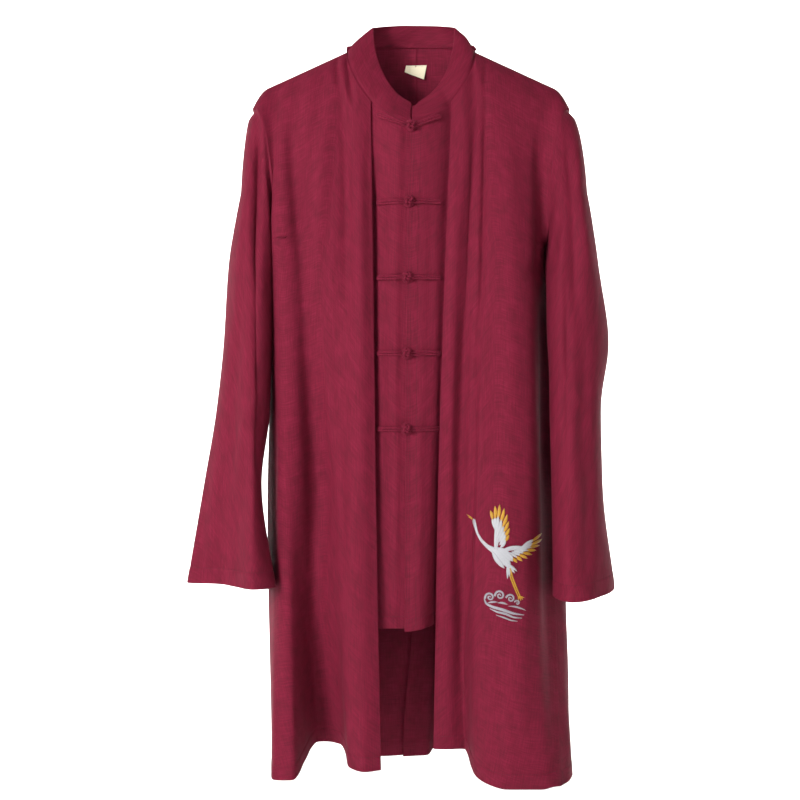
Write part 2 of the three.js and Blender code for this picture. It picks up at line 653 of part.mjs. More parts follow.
// A frog fastening: its middle, and the path of an arm on the short front.
function frogPlace(k) {
  const z = frog.first - k * frog.pitch;
  const rise = k === 0 ? frog.firstRise : 0;
  const halfCord = 2 * frog.cord;
  const x = lapEdge(z) + 1;
  const face = (px, pz) => faceAt(px, pz) - frog.cord - frog.gap;
  const arm = (from, to, steps) =>
    Array.from({ length: steps + 1 }, (_, i) => {
      const px = mix(from, to, i / steps);
      const pz = z + rise * (Math.abs(px) / frog.armLeft) ** frog.firstBend;
      const y = Math.min(face(px, pz), face(px, pz + halfCord), face(px, pz - halfCord));
      return new THREE.Vector3(px, y, pz);
    });
  return { x, z, arm, y: Math.min(face(x, z), face(x - frog.ring, z), face(x + frog.ring, z)) };
}

function frogLoop(k) {
  const { x, z, y, arm } = frogPlace(k);
  const arms = sweep(arm(-frog.armLeft, x - frog.ring + frog.gap, 5), up, outward, () => twinCord(frog.cord));
  const count = 14;
  const sides = 6;
  const points = [];
  const faces = [];
  for (let i = 0; i < count; i++) {
    const a = (2 * Math.PI * i) / count;
    const lift = frog.ringLift * ((1 + Math.cos(a)) / 2);
    for (let j = 0; j < sides; j++) {
      const b = (2 * Math.PI * j) / sides;
      const radius = frog.ring + frog.cord * Math.cos(b);
      points.push(x + radius * Math.cos(a), y - lift - frog.cord * Math.sin(b), z + radius * Math.sin(a));
      const [i2, j2] = [((i + 1) % count) * sides, (j + 1) % sides];
      faces.push(i * sides + j, i2 + j, i2 + j2, i * sides + j, i2 + j2, i * sides + j2);
    }
  }
  const ring = new THREE.BufferGeometry();
  ring.setAttribute('position', new THREE.Float32BufferAttribute(points, 3));
  ring.setIndex(faces);
  return toGeometry(toSolid(arms).add(toSolid(faceOutward(ring))));
}

function frogKnot(k) {
  const { x, z, y, arm } = frogPlace(k);
  const arms = sweep(arm(x - 1, frog.armRight, 5), up, outward, () => twinCord(frog.cord));
  const ball = new THREE.SphereGeometry(frog.ball, 12, 8);
  const p = ball.attributes.position;
  for (let i = 0; i < p.count; i++) {
    const v = new THREE.Vector3().fromBufferAttribute(p, i);
    const lobe = 1 + frog.lobeDepth * Math.cos(frog.lobes * Math.atan2(v.z, v.x));
    p.setXYZ(i, x + v.x * lobe, y - frog.ballOut + v.y, z + v.z * lobe);
  }
  const stem = new THREE.CylinderGeometry(frog.stem, frog.stem, frog.stemLength, 8);
  stem.translate(x, y - frog.stemOut, z);
  return toGeometry(toSolid(arms).add(toSolid(ball)).add(toSolid(stem)));
}

// The blank label, sewn by its top edge inside the back below the collar, its lower edge curling forward.
function labelGeometry() {
  const { corners, curl, gap, tape } = label;
  const backs = robe.children.filter((mesh) => mesh.name.startsWith('back'));
  const depths = corners.map(([x, z]) => {
    ray.set(new THREE.Vector3(x, 0, z), new THREE.Vector3(0, 1, 0));
    return ray.intersectObjects(backs)[0].point.y;
  });
  const seat = Math.min(depths[0], depths[1]) - gap;
  const points = [];
  for (const layer of [0, tape]) corners.forEach(([x, z], i) => points.push(x, seat - curl[i] - layer, z));
  const faces = [0, 1, 2, 0, 2, 3, 4, 6, 5, 4, 7, 6];
  for (let i = 0; i < 4; i++) faces.push(i, i + 4, ((i + 1) % 4) + 4, i, ((i + 1) % 4) + 4, (i + 1) % 4);
  const geometry = new THREE.BufferGeometry();
  geometry.setAttribute('position', new THREE.Float32BufferAttribute(points, 3));
  geometry.setIndex(faces);
  return faceOutward(geometry);
}

const robe = new THREE.Group();
function addPiece(name, geometry, colour, roughness = 0.9) {
  const material = new THREE.MeshStandardMaterial({ color: colour, roughness, metalness: 0 });
  material.side = THREE.DoubleSide;
  const mesh = new THREE.Mesh(geometry, material);
  mesh.name = name;
  robe.add(mesh);
}

const collar = collarGeometry();
const panelNodes = {
  frontRight: 'front_right', frontLeft: 'front_left', backRight: 'back_right', backLeft: 'back_left',
};
for (const [name, node] of Object.entries(panelNodes)) {
  const isBack = name.startsWith('back');
  setBack(grids[name], ['last', 'top', 'shoulder', isBack ? 'first' : '']);
  const wall = wallGeometry(grids[name], normals[name], cloth.wall, false, isBack ? rows.armhole : 0);
  addPiece(node, wall, palette.cloth);
}
addPiece('sleeve_right', sleeveGeometry('right'), palette.cloth);
addPiece('sleeve_left', sleeveGeometry('left'), palette.cloth);
addPiece('inner_front_right', innerGeometry('right'), palette.cloth);
addPiece('inner_front_left', innerGeometry('left'), palette.cloth);
addPiece('collar', collar, palette.cloth);
addPiece('neck_label', labelGeometry(), palette.label, 0.8);
for (let k = 0; k < frog.count; k++) {
  addPiece(`frog_loop_${k + 1}`, frogLoop(k), palette.cord);
  addPiece(`frog_knot_${k + 1}`, frogKnot(k), palette.cord);
}

export default robe;
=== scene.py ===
"""A long tang robe of burgundy cotton and linen cloth, hollow, as it hangs from its neck and shoulders.

The forms of the cut pieces are worked out in millimetres in the row's frame: +Z is up, the front faces -Y, and the
wearer's right is at -X. They become metres when each mesh is made. Each piece is a thin shell on the form of its
solid, with its own creases, rolled seams, hems and stitching.
"""

import logging  # noqa: E402
import math  # noqa: E402
from dataclasses import dataclass, field  # noqa: E402
from enum import Enum  # noqa: E402
from typing import Iterable, Sequence  # noqa: E402

import bpy  # noqa: E402
import numpy as np  # noqa: E402
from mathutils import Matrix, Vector  # noqa: E402
from mathutils.bvhtree import BVHTree  # noqa: E402
from numpy.typing import NDArray  # noqa: E402


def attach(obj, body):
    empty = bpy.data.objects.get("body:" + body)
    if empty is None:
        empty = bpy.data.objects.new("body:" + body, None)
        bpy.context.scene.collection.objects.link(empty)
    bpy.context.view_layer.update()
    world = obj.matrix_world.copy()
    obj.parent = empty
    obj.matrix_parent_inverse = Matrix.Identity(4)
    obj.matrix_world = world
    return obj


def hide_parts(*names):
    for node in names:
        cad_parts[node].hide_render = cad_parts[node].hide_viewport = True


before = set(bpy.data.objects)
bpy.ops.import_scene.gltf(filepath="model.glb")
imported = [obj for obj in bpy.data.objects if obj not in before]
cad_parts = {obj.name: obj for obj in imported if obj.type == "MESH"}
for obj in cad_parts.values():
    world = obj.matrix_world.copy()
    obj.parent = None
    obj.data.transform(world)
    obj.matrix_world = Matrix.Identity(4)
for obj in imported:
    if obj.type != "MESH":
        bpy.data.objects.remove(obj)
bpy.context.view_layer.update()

Array = NDArray[np.float64]
Indices = NDArray[np.int64]
Pair = tuple[float, float]
Triple = tuple[float, float, float]
Object, Material = bpy.types.Object, bpy.types.Material
Tree, Node, Socket = bpy.types.NodeTree, bpy.types.Node, bpy.types.NodeSocket
log = logging.getLogger("robe")

MM = 0.001
SHELL, COLLAR_SHELL, WALL = 1.2, 2.0, 1.8  # thickness of the shown cloth and collar, and of the solids' cloth
FORWARDS = np.array([0.0, -1.0, 0.0])

# The form of the robe, in millimetres, as its solids have it.
NECK_HALF, NECK_DROP, NECK_RISE, NECK_ROUND = 90.0, 113.0, 22.0, 1.65
SHOULDER_SLOPE, SHOULDER_TIP, ROUND_FROM, ROUNDING = 0.46, 222.0, 200.0, 0.042
SHOULDER_FALL, FALL_POWER = 45.0, 0.75
UNDERARM_X, UNDERARM_Y, UNDERARM_Z = 189.0, 8.0, -270.0
ARMHOLE_FRONT, ARMHOLE_BACK, ARMHOLE_HEAD, ARMHOLE_BOW = 58.0, 52.0, 33.0, 0.45
VENT_TOP, VENT_LAP, VENT_GAP, VENT_OUT = -740.0, 9.0, 2.6, 10.0
INNER_HEM, INNER_LAP, INNER_SEAM = -796.0, 15.0, 32.0
YOKE_TO_HEM = (-110.0, -300.0, -640.0, -1000.0)
SIDE_HEIGHTS = (-270.0, -640.0, -1000.0)
SLEEVE_HEIGHTS = (-200.0, -300.0, -410.0, -500.0, -600.0, -740.0)
RIPPLES, RIPPLE_WIDE, RIPPLE_LONG = 14, (26, 80), (420, 1200)  # how many low waves, and their sizes
EDGE_ROWS = (0.0, 0.5, 1.2, 2.2, 3.6, 5.6)  # distances from an edge at which the cloth gets points


class Side(Enum):
    """The wearer's side, with its sign along X."""

    RIGHT = -1
    LEFT = 1


def pick(table: Array, index: Indices) -> Array:
    """The entries of a table's last axis, at an index for each place."""
    return table[index] if table.ndim == 1 else np.take_along_axis(table, index[..., None], -1)[..., 0]


def curve(knots: Sequence[float], values: Array, at: Array) -> Array:
    """Monotone cubic through values at knots, held level past both ends.

    Args:
        knots: places of the values, rising or falling.
        values: the values, along the last axis; other axes go with those of at.
        at: places to read.

    Returns:
        The values at those places.
    """
    k, v, at = np.asarray(knots, float), np.asarray(values, float), np.asarray(at, float)
    if k[1] < k[0]:
        k, v = k[::-1], v[..., ::-1]
    at = np.clip(at, k[0], k[-1])
    step = np.diff(k)
    slope = np.diff(v, axis=-1) / step
    tangent = np.empty(v.shape)
    tangent[..., 0], tangent[..., -1] = slope[..., 0], slope[..., -1]
    a, b, p, q = slope[..., :-1], slope[..., 1:], step[:-1], step[1:]
    with np.errstate(divide="ignore", invalid="ignore"):
        inner = 3 * (p + q) / ((2 * q + p) / a + (q + 2 * p) / b)
    tangent[..., 1:-1] = np.where(a * b > 0, inner, 0.0)
    i = np.clip(np.searchsorted(k, at, side="right") - 1, 0, len(k) - 2)
    t = (at - k[i]) / step[i]
    smooth = (1 + 2 * t) * (1 - t) ** 2 * pick(v, i) + t * t * (3 - 2 * t) * pick(v, i + 1)
    lean = t * (1 - t) ** 2 * pick(tangent, i) - t * t * (1 - t) * pick(tangent, i + 1)
    return smooth + step[i] * lean


def ease(t: Array) -> Array:
    """Rises smoothly from 0 to 1 as t does, and stays level outside."""
    t = np.clip(t, 0.0, 1.0)
    return t * t * (3 - 2 * t)


def close_by(distance: Array, reach: float) -> Array:
    """1 at distance 0, falling to 0 past the reach on both sides."""
    return np.exp(-((distance / reach) ** 2))


def mix(a: Array, b: Array, t: Array) -> Array:
    """The value a share t of the way from a to b."""
    return a + (b - a) * t


def unit(v: Array) -> Array:
    """Vectors scaled to length 1."""
    return v / np.maximum(np.linalg.norm(v, axis=-1, keepdims=True), 1e-9)


def shoulder_z(x: Array, front: bool) -> Array:
    """Height of the shoulder line over x; inside the neck it goes on rising, to shape the cloth there."""
    out = np.abs(x) - NECK_HALF
    down = -out * SHOULDER_SLOPE - ROUNDING * np.maximum(0, np.abs(x) - ROUND_FROM) ** 2
    return np.where(out < 0, -out * (0.3 if front else 1.6), down)


TIP_Z = float(shoulder_z(np.array(SHOULDER_TIP), True))


def neck_z(x: Array, front: bool) -> Array:
    """Height of the neck seam over x, in front or behind."""
    share = np.minimum(1.0, np.abs(x) / NECK_HALF)
    if front:
        return -NECK_DROP * (1 - share**NECK_ROUND) ** (1 / NECK_ROUND)
    return NECK_RISE * np.sqrt(np.maximum(0, 1 - share * share))


@dataclass(frozen=True)
class Fold:
    """A long fold line: where it lies at the heights of its table, and how low the cloth ends on it."""

    x: tuple[float, ...]
    y: tuple[float, ...]
    end: float


@dataclass(frozen=True)
class Crease:
    """A soft ridge, or a trough where height is below 0, between two places seen from the front, in mm.

    bow bends it sideways at its middle. behind says that it lies on the back of a sleeve.
    """

    x0: float
    z0: float
    x1: float
    z1: float
    height: float
    width: float
    bow: float = 0.0
    behind: bool = False

    def lift(self, x: Array, z: Array) -> Array:
        """How far the crease moves the cloth out at places seen from the front.

        Args:
            x: places across, in mm.
            z: heights, in mm.

        Returns:
            The move along the cloth's normal, in mm.
        """
        dx, dz = self.x1 - self.x0, self.z1 - self.z0
        x, z, length = x - self.x0, z - self.z0, math.hypot(dx, dz)
        t = (x * dx + z * dz) / length**2
        aside = (x * dz - z * dx) / length - self.bow * np.sin(np.pi * np.clip(t, 0, 1))
        fade = ease(t / 0.3 + 0.15) * ease((1 - t) / 0.3 + 0.15)
        return self.height * fade * close_by(aside, self.width)


def ripples(across: Array, along: Array, seed: int, height: float) -> Array:
    """The unevenness of hanging cloth: low waves, longer down the cloth than across it.

    Args:
        across: places across the cloth, in mm.
        along: places down the cloth, in mm.
        seed: which waves.
        height: how high they are together, in mm.

    Returns:
        The move along the cloth's normal, in mm.
    """
    chance = np.random.default_rng(seed)
    total = np.zeros(np.shape(across))
    for _ in range(RIPPLES):
        wide, long = chance.uniform(*RIPPLE_WIDE), chance.uniform(*RIPPLE_LONG) * chance.choice([-1, 1])
        total += np.sin(2 * np.pi * (across / wide + along / long) + chance.uniform(0, 2 * np.pi)) * wide / 75
    return height * total / 2.6


def lengths(grid: Array, axis: int) -> Array:
    """Distance along an axis of a grid of points, from its first point."""
    steps = np.linalg.norm(np.diff(grid, axis=axis), axis=-1)
    start = np.zeros_like(np.take(steps, [0], axis))
    return np.concatenate([start, np.cumsum(steps, axis=axis)], axis=axis)


def spaced(grid: Array, axis: int, near: Sequence[float], far: Sequence[float], step: float) -> Array:
    """Resamples a grid along an axis: close together at both ends, and evenly between.

    Args:
        grid: points, in mm.
        axis: 0 for down the cloth, 1 for across it.
        near: distances from the first end, rising from 0.
        far: distances from the last end, rising from 0.
        step: spacing between, in mm.

    Returns:
        The new grid.
    """
    g = np.moveaxis(grid, axis, 0)
    run = lengths(g, 0)
    total = run[-1]
    fit = np.minimum(1.0, total * 0.45 / max(near[-1] + far[-1], 1e-6))
    count = max(6, int(round((np.median(total) - near[-1] - far[-1]) / step)))
    share = np.linspace(0, 1, count + 1)[1:-1, None]
    head = np.asarray(near)[:, None] * fit
    tail = total - np.asarray(far)[::-1, None] * fit
    places = np.concatenate([head, mix(head[-1:], tail[:1], share), tail])
    out = np.empty((len(places),) + g.shape[1:])
    for m in range(g.shape[1]):
        for k in range(3):
            out[:, m, k] = np.interp(places[:, m], run[:, m], g[:, m, k])
    return np.moveaxis(out, 0, axis)


def cut_grid(grid: Array, spacing: Pair, hem_rows: tuple[float, ...]) -> Array:
    """Resamples a flat piece: close together at its edges and at the stitches of its hem.

    Args:
        grid: points, in mm.
        spacing: between the other points, across and down, in mm.
        hem_rows: distances of the rows near the stitches from the lower edge, in mm.

    Returns:
        The new grid.
    """
    grid = spaced(grid, 1, EDGE_ROWS, EDGE_ROWS, spacing[0])
    return spaced(grid, 0, EDGE_ROWS, EDGE_ROWS + hem_rows, spacing[1])


@dataclass
class Shell:
    """A closed surface of four-sided faces in mm, with a place on the flat cloth for each point."""

    points: Array
    faces: Indices
    flat: Array

    def __post_init__(self) -> None:
        """Turns the faces outwards."""
        a, b, c, d = (self.points[self.faces[:, k]] for k in range(4))
        if (a * np.cross(b, c)).sum() + (a * np.cross(c, d)).sum() < 0:
            self.faces = self.faces[:, ::-1]


def quads(number: Indices) -> Indices:
    """The four-sided faces of a grid of point numbers."""
    corners = number[:-1, :-1], number[1:, :-1], number[1:, 1:], number[:-1, 1:]
    return np.stack(corners, -1).reshape(-1, 4)


@dataclass
class Cloth:
    """A grid of points on the outer face of a cut piece, in mm, with rows down and columns across."""

    points: Array
    outward: int
    around: bool = False
    seams: list[Array] = field(default_factory=list)

    def normals(self) -> Array:
        """Unit normals that point out of the robe."""
        down = np.gradient(self.points, axis=0)
        if self.around:
            across = np.roll(self.points, -1, 1) - np.roll(self.points, 1, 1)
        else:
            across = np.gradient(self.points, axis=1)
        return unit(np.cross(across, down)) * self.outward

    def raise_by(self, lift: Array) -> None:
        """Moves the face out along its normals."""
        self.points = self.points + self.normals() * lift[..., None]

    def from_edges(self) -> dict[str, Array]:
        """Distances along the cloth from its top, bottom, first and last edges, in mm."""
        down, across = lengths(self.points, 0), lengths(self.points, 1)
        return {"top": down, "bottom": down[-1:] - down, "first": across, "last": across[:, -1:] - across}

    def roll_seams(self, edges: Iterable[str], dip: float = 0.75, reach: float = 1.5) -> None:
        """Draws the cloth in along its seamed edges, as sewing does."""
        far = self.from_edges()
        self.raise_by(-dip * sum(close_by(far[edge], reach) for edge in edges))

    def turn_in(self, edge: str, depth: Array | float = 3.0) -> None:
        """Adds the seam allowance, turned inwards from a seamed edge.

        Args:
            edge: top, bottom, first or last.
            depth: how far it goes in, in mm, for all points or for each.
        """
        axis, at = {"top": (0, 0), "bottom": (0, -1), "first": (1, 0), "last": (1, -1)}[edge]
        line = np.take(self.points, [at], axis)
        inward = np.take(self.normals(), [at], axis) * -np.asarray(depth)[..., None]
        parts = [line + inward, self.points] if at == 0 else [self.points, line + inward]
        self.points = np.concatenate(parts, axis=axis)

    def sew(self, edge: str, distance: float, dip: float = 0.3) -> None:
        """Adds a row of stitches that draws the cloth in.

        Args:
            edge: the edge that it runs along.
            distance: from that edge, in mm.
            dip: how deep the cloth is drawn in, in mm.
        """
        far = self.from_edges()[edge]
        self.raise_by(-dip * close_by(far - distance, 1.1))
        axis = 0 if edge in ("top", "bottom") else 1
        far, both = np.moveaxis(far, axis, 0), np.concatenate([self.points, self.normals()], -1)
        both = np.moveaxis(both, axis, 0)
        if far[0].mean() > far[-1].mean():
            far, both = far[::-1], both[::-1]
        line = [[np.interp(distance, far[:, k], both[:, k, c]) for c in range(6)] for k in range(far.shape[1])]
        self.seams.append(np.array(line + line[:1] if self.around else line))

    def hem(self, depth: float, thick: float, dip: float) -> None:
        """Turns up a hem: thicker cloth up to a row of stitches.

        Args:
            depth: of the hem, in mm.
            thick: how far the turned cloth moves the face out, in mm.
            dip: how deep the stitches draw it in, in mm.
        """
        self.raise_by(thick * ease((depth - self.from_edges()["bottom"]) / 1.2 + 0.5))
        self.sew("bottom", depth, dip)

    def stitches(self, pitch: float = 3.2, length: float = 2.3, radius: float = 0.3) -> Shell:
        """The stitches of every row that was sewn.

        Args:
            pitch: from one stitch to the next, in mm.
            length: of a stitch, in mm.
            radius: of the thread, in mm.

        Returns:
            All of them as one surface.
        """
        starts, ends, ups = [], [], []
        for line in self.seams:
            run = lengths(line[:, :3], 0)
            at = np.arange(2.0, run[-1] - 2 * pitch, pitch)
            for places, found in ((at, starts), (at + length, ends)):
                found.append(np.stack([np.interp(places, run, line[:, c]) for c in range(3)], -1))
            ups.append(unit(np.stack([np.interp(at, run, line[:, c]) for c in (3, 4, 5)], -1)))
        return grains(np.concatenate(starts), np.concatenate(ends), np.concatenate(ups), radius)

    def shell(self, thickness: float) -> Shell:
        """Both faces of the cloth and a rounded rim, with places that measure the flat cloth.

        Args:
            thickness: of the cloth, in mm.

        Returns:
            The closed surface.
        """
        outer, normal = self.points, self.normals()
        inner = outer - normal * thickness
        rows, columns = outer.shape[:2]
        number = np.arange(rows * columns).reshape(rows, columns)
        if self.around:
            number = np.concatenate([number, number[:, :1]], axis=1)
        faces = [quads(number), quads(number + rows * columns)[:, ::-1]]
        points = [outer.reshape(-1, 3), inner.reshape(-1, 3)]
        along, across = lengths(outer, 0), lengths(outer, 1)
        flat = np.stack([across, -along], -1).reshape(-1, 2)
        flats = [flat, flat + [0.0, 3000.0]]
        made = 2 * rows * columns
        for ring, past in self._rims(number):
            r, c = np.unravel_index(ring, (rows, columns))
            out = unit(outer[r, c] - outer.reshape(-1, 3)[past])
            points.append((outer[r, c] + inner[r, c]) / 2 + out * thickness * 0.42)
            flats.append(flat[ring])
            middle = np.arange(len(ring)) + made
            made += len(ring)
            lower = ring + rows * columns
            for a, b in ((ring, middle), (middle, lower)):
                faces.append(np.stack([a, np.roll(a, -1), np.roll(b, -1), b], -1))
        return Shell(np.concatenate(points), np.concatenate(faces), np.concatenate(flats))

    def _rims(self, number: Indices) -> list[tuple[Indices, Indices]]:
        """Each edge ring as point numbers in order, with the numbers of the points behind them."""
        if self.around:
            n = number[:, :-1]
            return [(n[0], n[1]), (n[-1][::-1], n[-2][::-1])]
        n = number
        ring = np.concatenate([n[0, :-1], n[:-1, -1], n[-1, :0:-1], n[:0:-1, 0]])
        past = np.concatenate([n[1, :-1], n[:-1, -2], n[-2, :0:-1], n[:0:-1, 1]])
        for place, (r, c) in zip((0, n.shape[1] - 1), ((1, 1), (1, -2))):
            past[place] = n[r, c]
        past[n.shape[1] - 1 + n.shape[0] - 1] = n[-2, -2]
        return [(ring, past)]


def tube(path: Array, radius: Array | float, up: Array, closed: bool = False, sides: int = 8) -> Shell:
    """A round cord along a path.

    Args:
        path: points on its middle line, in mm.
        radius: of the cord, for all points or for each.
        up: the way out of the cloth, for all points or for each.
        closed: whether its end joins its start.
        sides: points round the cord, an even number.

    Returns:
        The closed surface.
    """
    step = np.roll(path, -1, 0) - np.roll(path, 1, 0) if closed else np.gradient(path, axis=0)
    tangent = unit(step)
    aside = unit(np.cross(tangent, np.broadcast_to(up, path.shape)))
    over = np.cross(aside, tangent)
    angle = 2 * np.pi * np.arange(sides)[:, None] / sides
    wide = np.broadcast_to(radius, len(path))[:, None, None]
    rings = path[:, None] + wide * (np.cos(angle) * aside[:, None] + np.sin(angle) * over[:, None])
    number = np.arange(len(path) * sides).reshape(len(path), sides)
    faces = [quads(np.concatenate([number, number[:, :1]], 1))]
    if closed:
        joint = np.stack([number[-1], number[0]])
        faces.append(quads(np.concatenate([joint, joint[:, :1]], 1)))
    else:
        faces += [cap(number[0]), cap(number[-1, ::-1])]
    run = lengths(path, 0)[:, None]
    flat = np.stack([wide[:, 0] * angle[:, 0], np.broadcast_to(run, number.shape)], -1)
    return Shell(rings.reshape(-1, 3), np.concatenate(faces), flat.reshape(-1, 2))


def cap(ring: Indices) -> Indices:
    """Four-sided faces that close a ring of an even number of points."""
    n = len(ring)
    return np.array([[ring[k], ring[k + 1], ring[n - 2 - k], ring[n - 1 - k]] for k in range(n // 2 - 1)])


def grains(starts: Array, ends: Array, up: Array, radius: float) -> Shell:
    """Short round threads with pointed ends that dip into the cloth.

    Args:
        starts: where each begins, in mm.
        ends: where each ends.
        up: the way out of the cloth at each.
        radius: of the thread, in mm.

    Returns:
        All of them as one surface.
    """
    sides = 6
    aside = unit(np.cross(ends - starts, up))
    angle = 2 * np.pi * np.arange(sides) / sides
    rings = []
    for share, wide, height in ((0.0, 0.3, -0.5), (0.25, 1.0, 0.5), (0.75, 1.0, 0.5), (1.0, 0.3, -0.5)):
        middle = mix(starts, ends, share) + up * height * radius
        around = np.cos(angle)[:, None] * aside[:, None] + np.sin(angle)[:, None] * up[:, None]
        rings.append(middle[:, None] + radius * wide * around)
    points = np.stack(rings, 1)
    number = np.arange(len(rings) * sides).reshape(-1, sides)
    one = [quads(np.concatenate([number, number[:, :1]], 1)), cap(number[0]), cap(number[-1, ::-1])]
    faces = np.concatenate(one)[None] + number.size * np.arange(len(starts))[:, None, None]
    return Shell(points.reshape(-1, 3), faces.reshape(-1, 4), np.zeros((points.size // 3, 2)))


def make_mesh(name: str, *shells: Shell) -> Object:
    """Makes a smooth mesh object of closed surfaces.

    Args:
        name: the object's name.
        shells: its surfaces, in mm.

    Returns:
        The new object, in the scene.
    """
    first = np.cumsum([0] + [len(shell.points) for shell in shells])
    faces = np.concatenate([shell.faces + start for shell, start in zip(shells, first)])
    points = np.concatenate([shell.points for shell in shells]) * MM
    flat = np.concatenate([shell.flat for shell in shells]) * MM
    data = bpy.data.meshes.new(name)
    data.vertices.add(len(points))
    data.vertices.foreach_set("co", points.ravel())
    data.loops.add(faces.size)
    data.loops.foreach_set("vertex_index", faces.ravel().astype(np.int32))
    data.polygons.add(len(faces))
    data.polygons.foreach_set("loop_start", np.arange(0, faces.size, 4, dtype=np.int32))
    data.update(calc_edges=True)
    layer = data.uv_layers.new(name="flat_cloth")
    layer.data.foreach_set("uv", flat[faces.ravel()].astype(np.float32).ravel())
    data.shade_smooth()
    piece = bpy.data.objects.new(name, data)
    bpy.context.scene.collection.objects.link(piece)
    return piece


@dataclass(frozen=True)
class PanelForm:
    """The form of one body panel: its fold lines from the front or middle edge to the side seam."""

    side: Side
    front: bool
    folds: tuple[Fold, ...]
    seam_x: tuple[float, ...]
    seam_y: tuple[float, ...]
    seam_end: float

    @property
    def last(self) -> int:
        """The station of the side seam."""
        return len(self.folds)

    def side_line(self, z: Array) -> tuple[Array, Array]:
        """The armhole above the underarm and the side seam below it, as x and y at heights z."""
        share = np.clip((z - UNDERARM_Z) / (TIP_Z - UNDERARM_Z), 0, 1)
        a = np.arccos(2 * share - 1) / np.pi
        depth = -ARMHOLE_FRONT if self.front else ARMHOLE_BACK
        x = self.side.value * (UNDERARM_X + ARMHOLE_HEAD * (1 - a) ** 3)
        y = depth * np.cos(np.clip(np.pi * a / 2, 0, np.pi / 2)) ** ARMHOLE_BOW + UNDERARM_Y * a
        low = z <= UNDERARM_Z
        return (
            np.where(low, curve(SIDE_HEIGHTS, self.seam_x, z), x),
            np.where(low, curve(SIDE_HEIGHTS, self.seam_y, z), y),
        )

    def at(self, s: Array, z: Array) -> Array:
        """Points of the panel at stations s and heights z."""
        s, z = np.broadcast_arrays(np.asarray(s, float), np.asarray(z, float))
        side_x, side_y = self.side_line(z)
        xs = np.stack([curve(YOKE_TO_HEM, f.x, z) for f in self.folds] + [side_x], -1)
        ys = np.stack([curve(YOKE_TO_HEM, f.y, z) for f in self.folds] + [side_y], -1)
        if not self.front:
            below = VENT_TOP - z
            lapped = ease((below - 70) / 170)
            xs[..., 0] -= self.side.value * VENT_LAP * lapped
            if self.side is Side.RIGHT:
                ys[..., 0] += np.where(below > 0, VENT_GAP * np.clip(below / 35, 0, 1) + VENT_OUT * lapped, 0)
        stations = range(self.last + 1)
        x = curve(stations, xs, s)
        drop = np.maximum(shoulder_z(x, self.front) - z, 0)
        full = 1 - np.exp(-((drop / SHOULDER_FALL) ** FALL_POWER))
        return np.stack([x, curve(stations, ys, s) * full, z], -1)

    def station_at(self, x: Array, z: Array) -> Array:
        """Stations at which the panel passes x, at heights z."""
        low, high = np.zeros(np.shape(x)), np.full(np.shape(x), float(self.last))
        for _ in range(20):
            middle = (low + high) / 2
            short = self.side.value * self.at(middle, z)[..., 0] < self.side.value * x
            low, high = np.where(short, middle, low), np.where(short, high, middle)
        return (low + high) / 2

    def depth(self, x: Array, z: Array) -> Array:
        """The panel's y at x and z."""
        return self.at(self.station_at(x, z), z)[..., 1]

    def top_z(self, s: Array) -> Array:
        """Height of the neck or shoulder seam on stations s."""
        x = self.at(s, YOKE_TO_HEM[0])[..., 0]
        z = np.full(np.shape(s), TIP_Z)
        for _ in range(60):
            z = mix(z, np.maximum(shoulder_z(self.at(s, z)[..., 0], True), TIP_Z), 0.6)
        return np.where(np.abs(x) < NECK_HALF, neck_z(x, self.front), np.where(s >= self.last, TIP_Z, z))

    def grid(self) -> Array:
        """The whole panel, close set, with rows from the top seam to the hem."""
        s = np.linspace(0, self.last, 281)[None, :]
        v = np.linspace(0, 1, 420)[:, None]
        split = 0.32
        hem = curve(range(self.last + 1), [f.end for f in self.folds] + [self.seam_end], s)
        a = np.clip(v / split, 0, 1)
        bowed = mix(a, (1 - np.cos(np.pi * a)) / 2, (s / self.last) ** 3)
        upper = mix(self.top_z(s[0])[None, :], UNDERARM_Z, bowed)
        z = np.where(v < split, upper, mix(UNDERARM_Z, hem, (v - split) / (1 - split)))
        return self.at(np.broadcast_to(s, z.shape), z)


FRONT_RIGHT = PanelForm(
    Side.RIGHT,
    True,
    (
        Fold((-55, -52, -47.5, -41), (-52, -60, -66, -58), -985),
        Fold((-76, -70, -66, -63), (-55, -67, -72, -66), -985),
        Fold((-97, -90, -92, -83), (-50, -57, -64, -48), -985),
        Fold((-132, -124, -112, -97), (-52, -62, -50, 12), -971),
        Fold((-160, -153, -136, -132), (-47, -49, -26, 26), -972),
        Fold((-176, -172, -168, -160), (-47, -50, -46, -54), -1000),
        Fold((-187, -185, -185, -187), (-42, -36, -26, -50), -1001),
    ),
    (-189, -203, -195),
    (8, 14, 4),
    -1001,
)
FRONT_LEFT = PanelForm(
    Side.LEFT,
    True,
    (
        Fold((54, 46, 36, 31.5), (-52, -58, -44, 2), -975),
        Fold((70, 60, 52, 54), (-54, -62, -50, -3), -974),
        Fold((86, 75, 66, 76), (-48, -50, -42, 2), -975),
        Fold((101, 92, 86, 85), (-53, -63, -68, -54), -992),
        Fold((135, 132, 128, 125), (-53, -68, -78, -89), -1000),
        Fold((160, 158, 168, 170), (-47, -54, -56, -89), -1000),
        Fold((183, 180, 187, 188), (-44, -22, -8, -85), -998),
    ),
    (189, 203, 198.5),
    (8, 8, -76),
    -1000,
)
BACK_RIGHT = PanelForm(
    Side.RIGHT,
    False,
    (
        Fold((8, 6, 3, -2), (55, 59, 62, 64), -1007),
        Fold((-46, -48, -50, -48), (56, 63, 68, 62), -1006),
        Fold((-92, -96, -98, -98), (55, 58, 60, 96), -990),
        Fold((-140, -140, -148, -144), (52, 54, 66, 94), -990),
        Fold((-182, -176, -188, -186), (46, 38, 46, 44), -1000),
    ),
    (-189, -203, -195),
    (8, 14, 4),
    -1001,
)
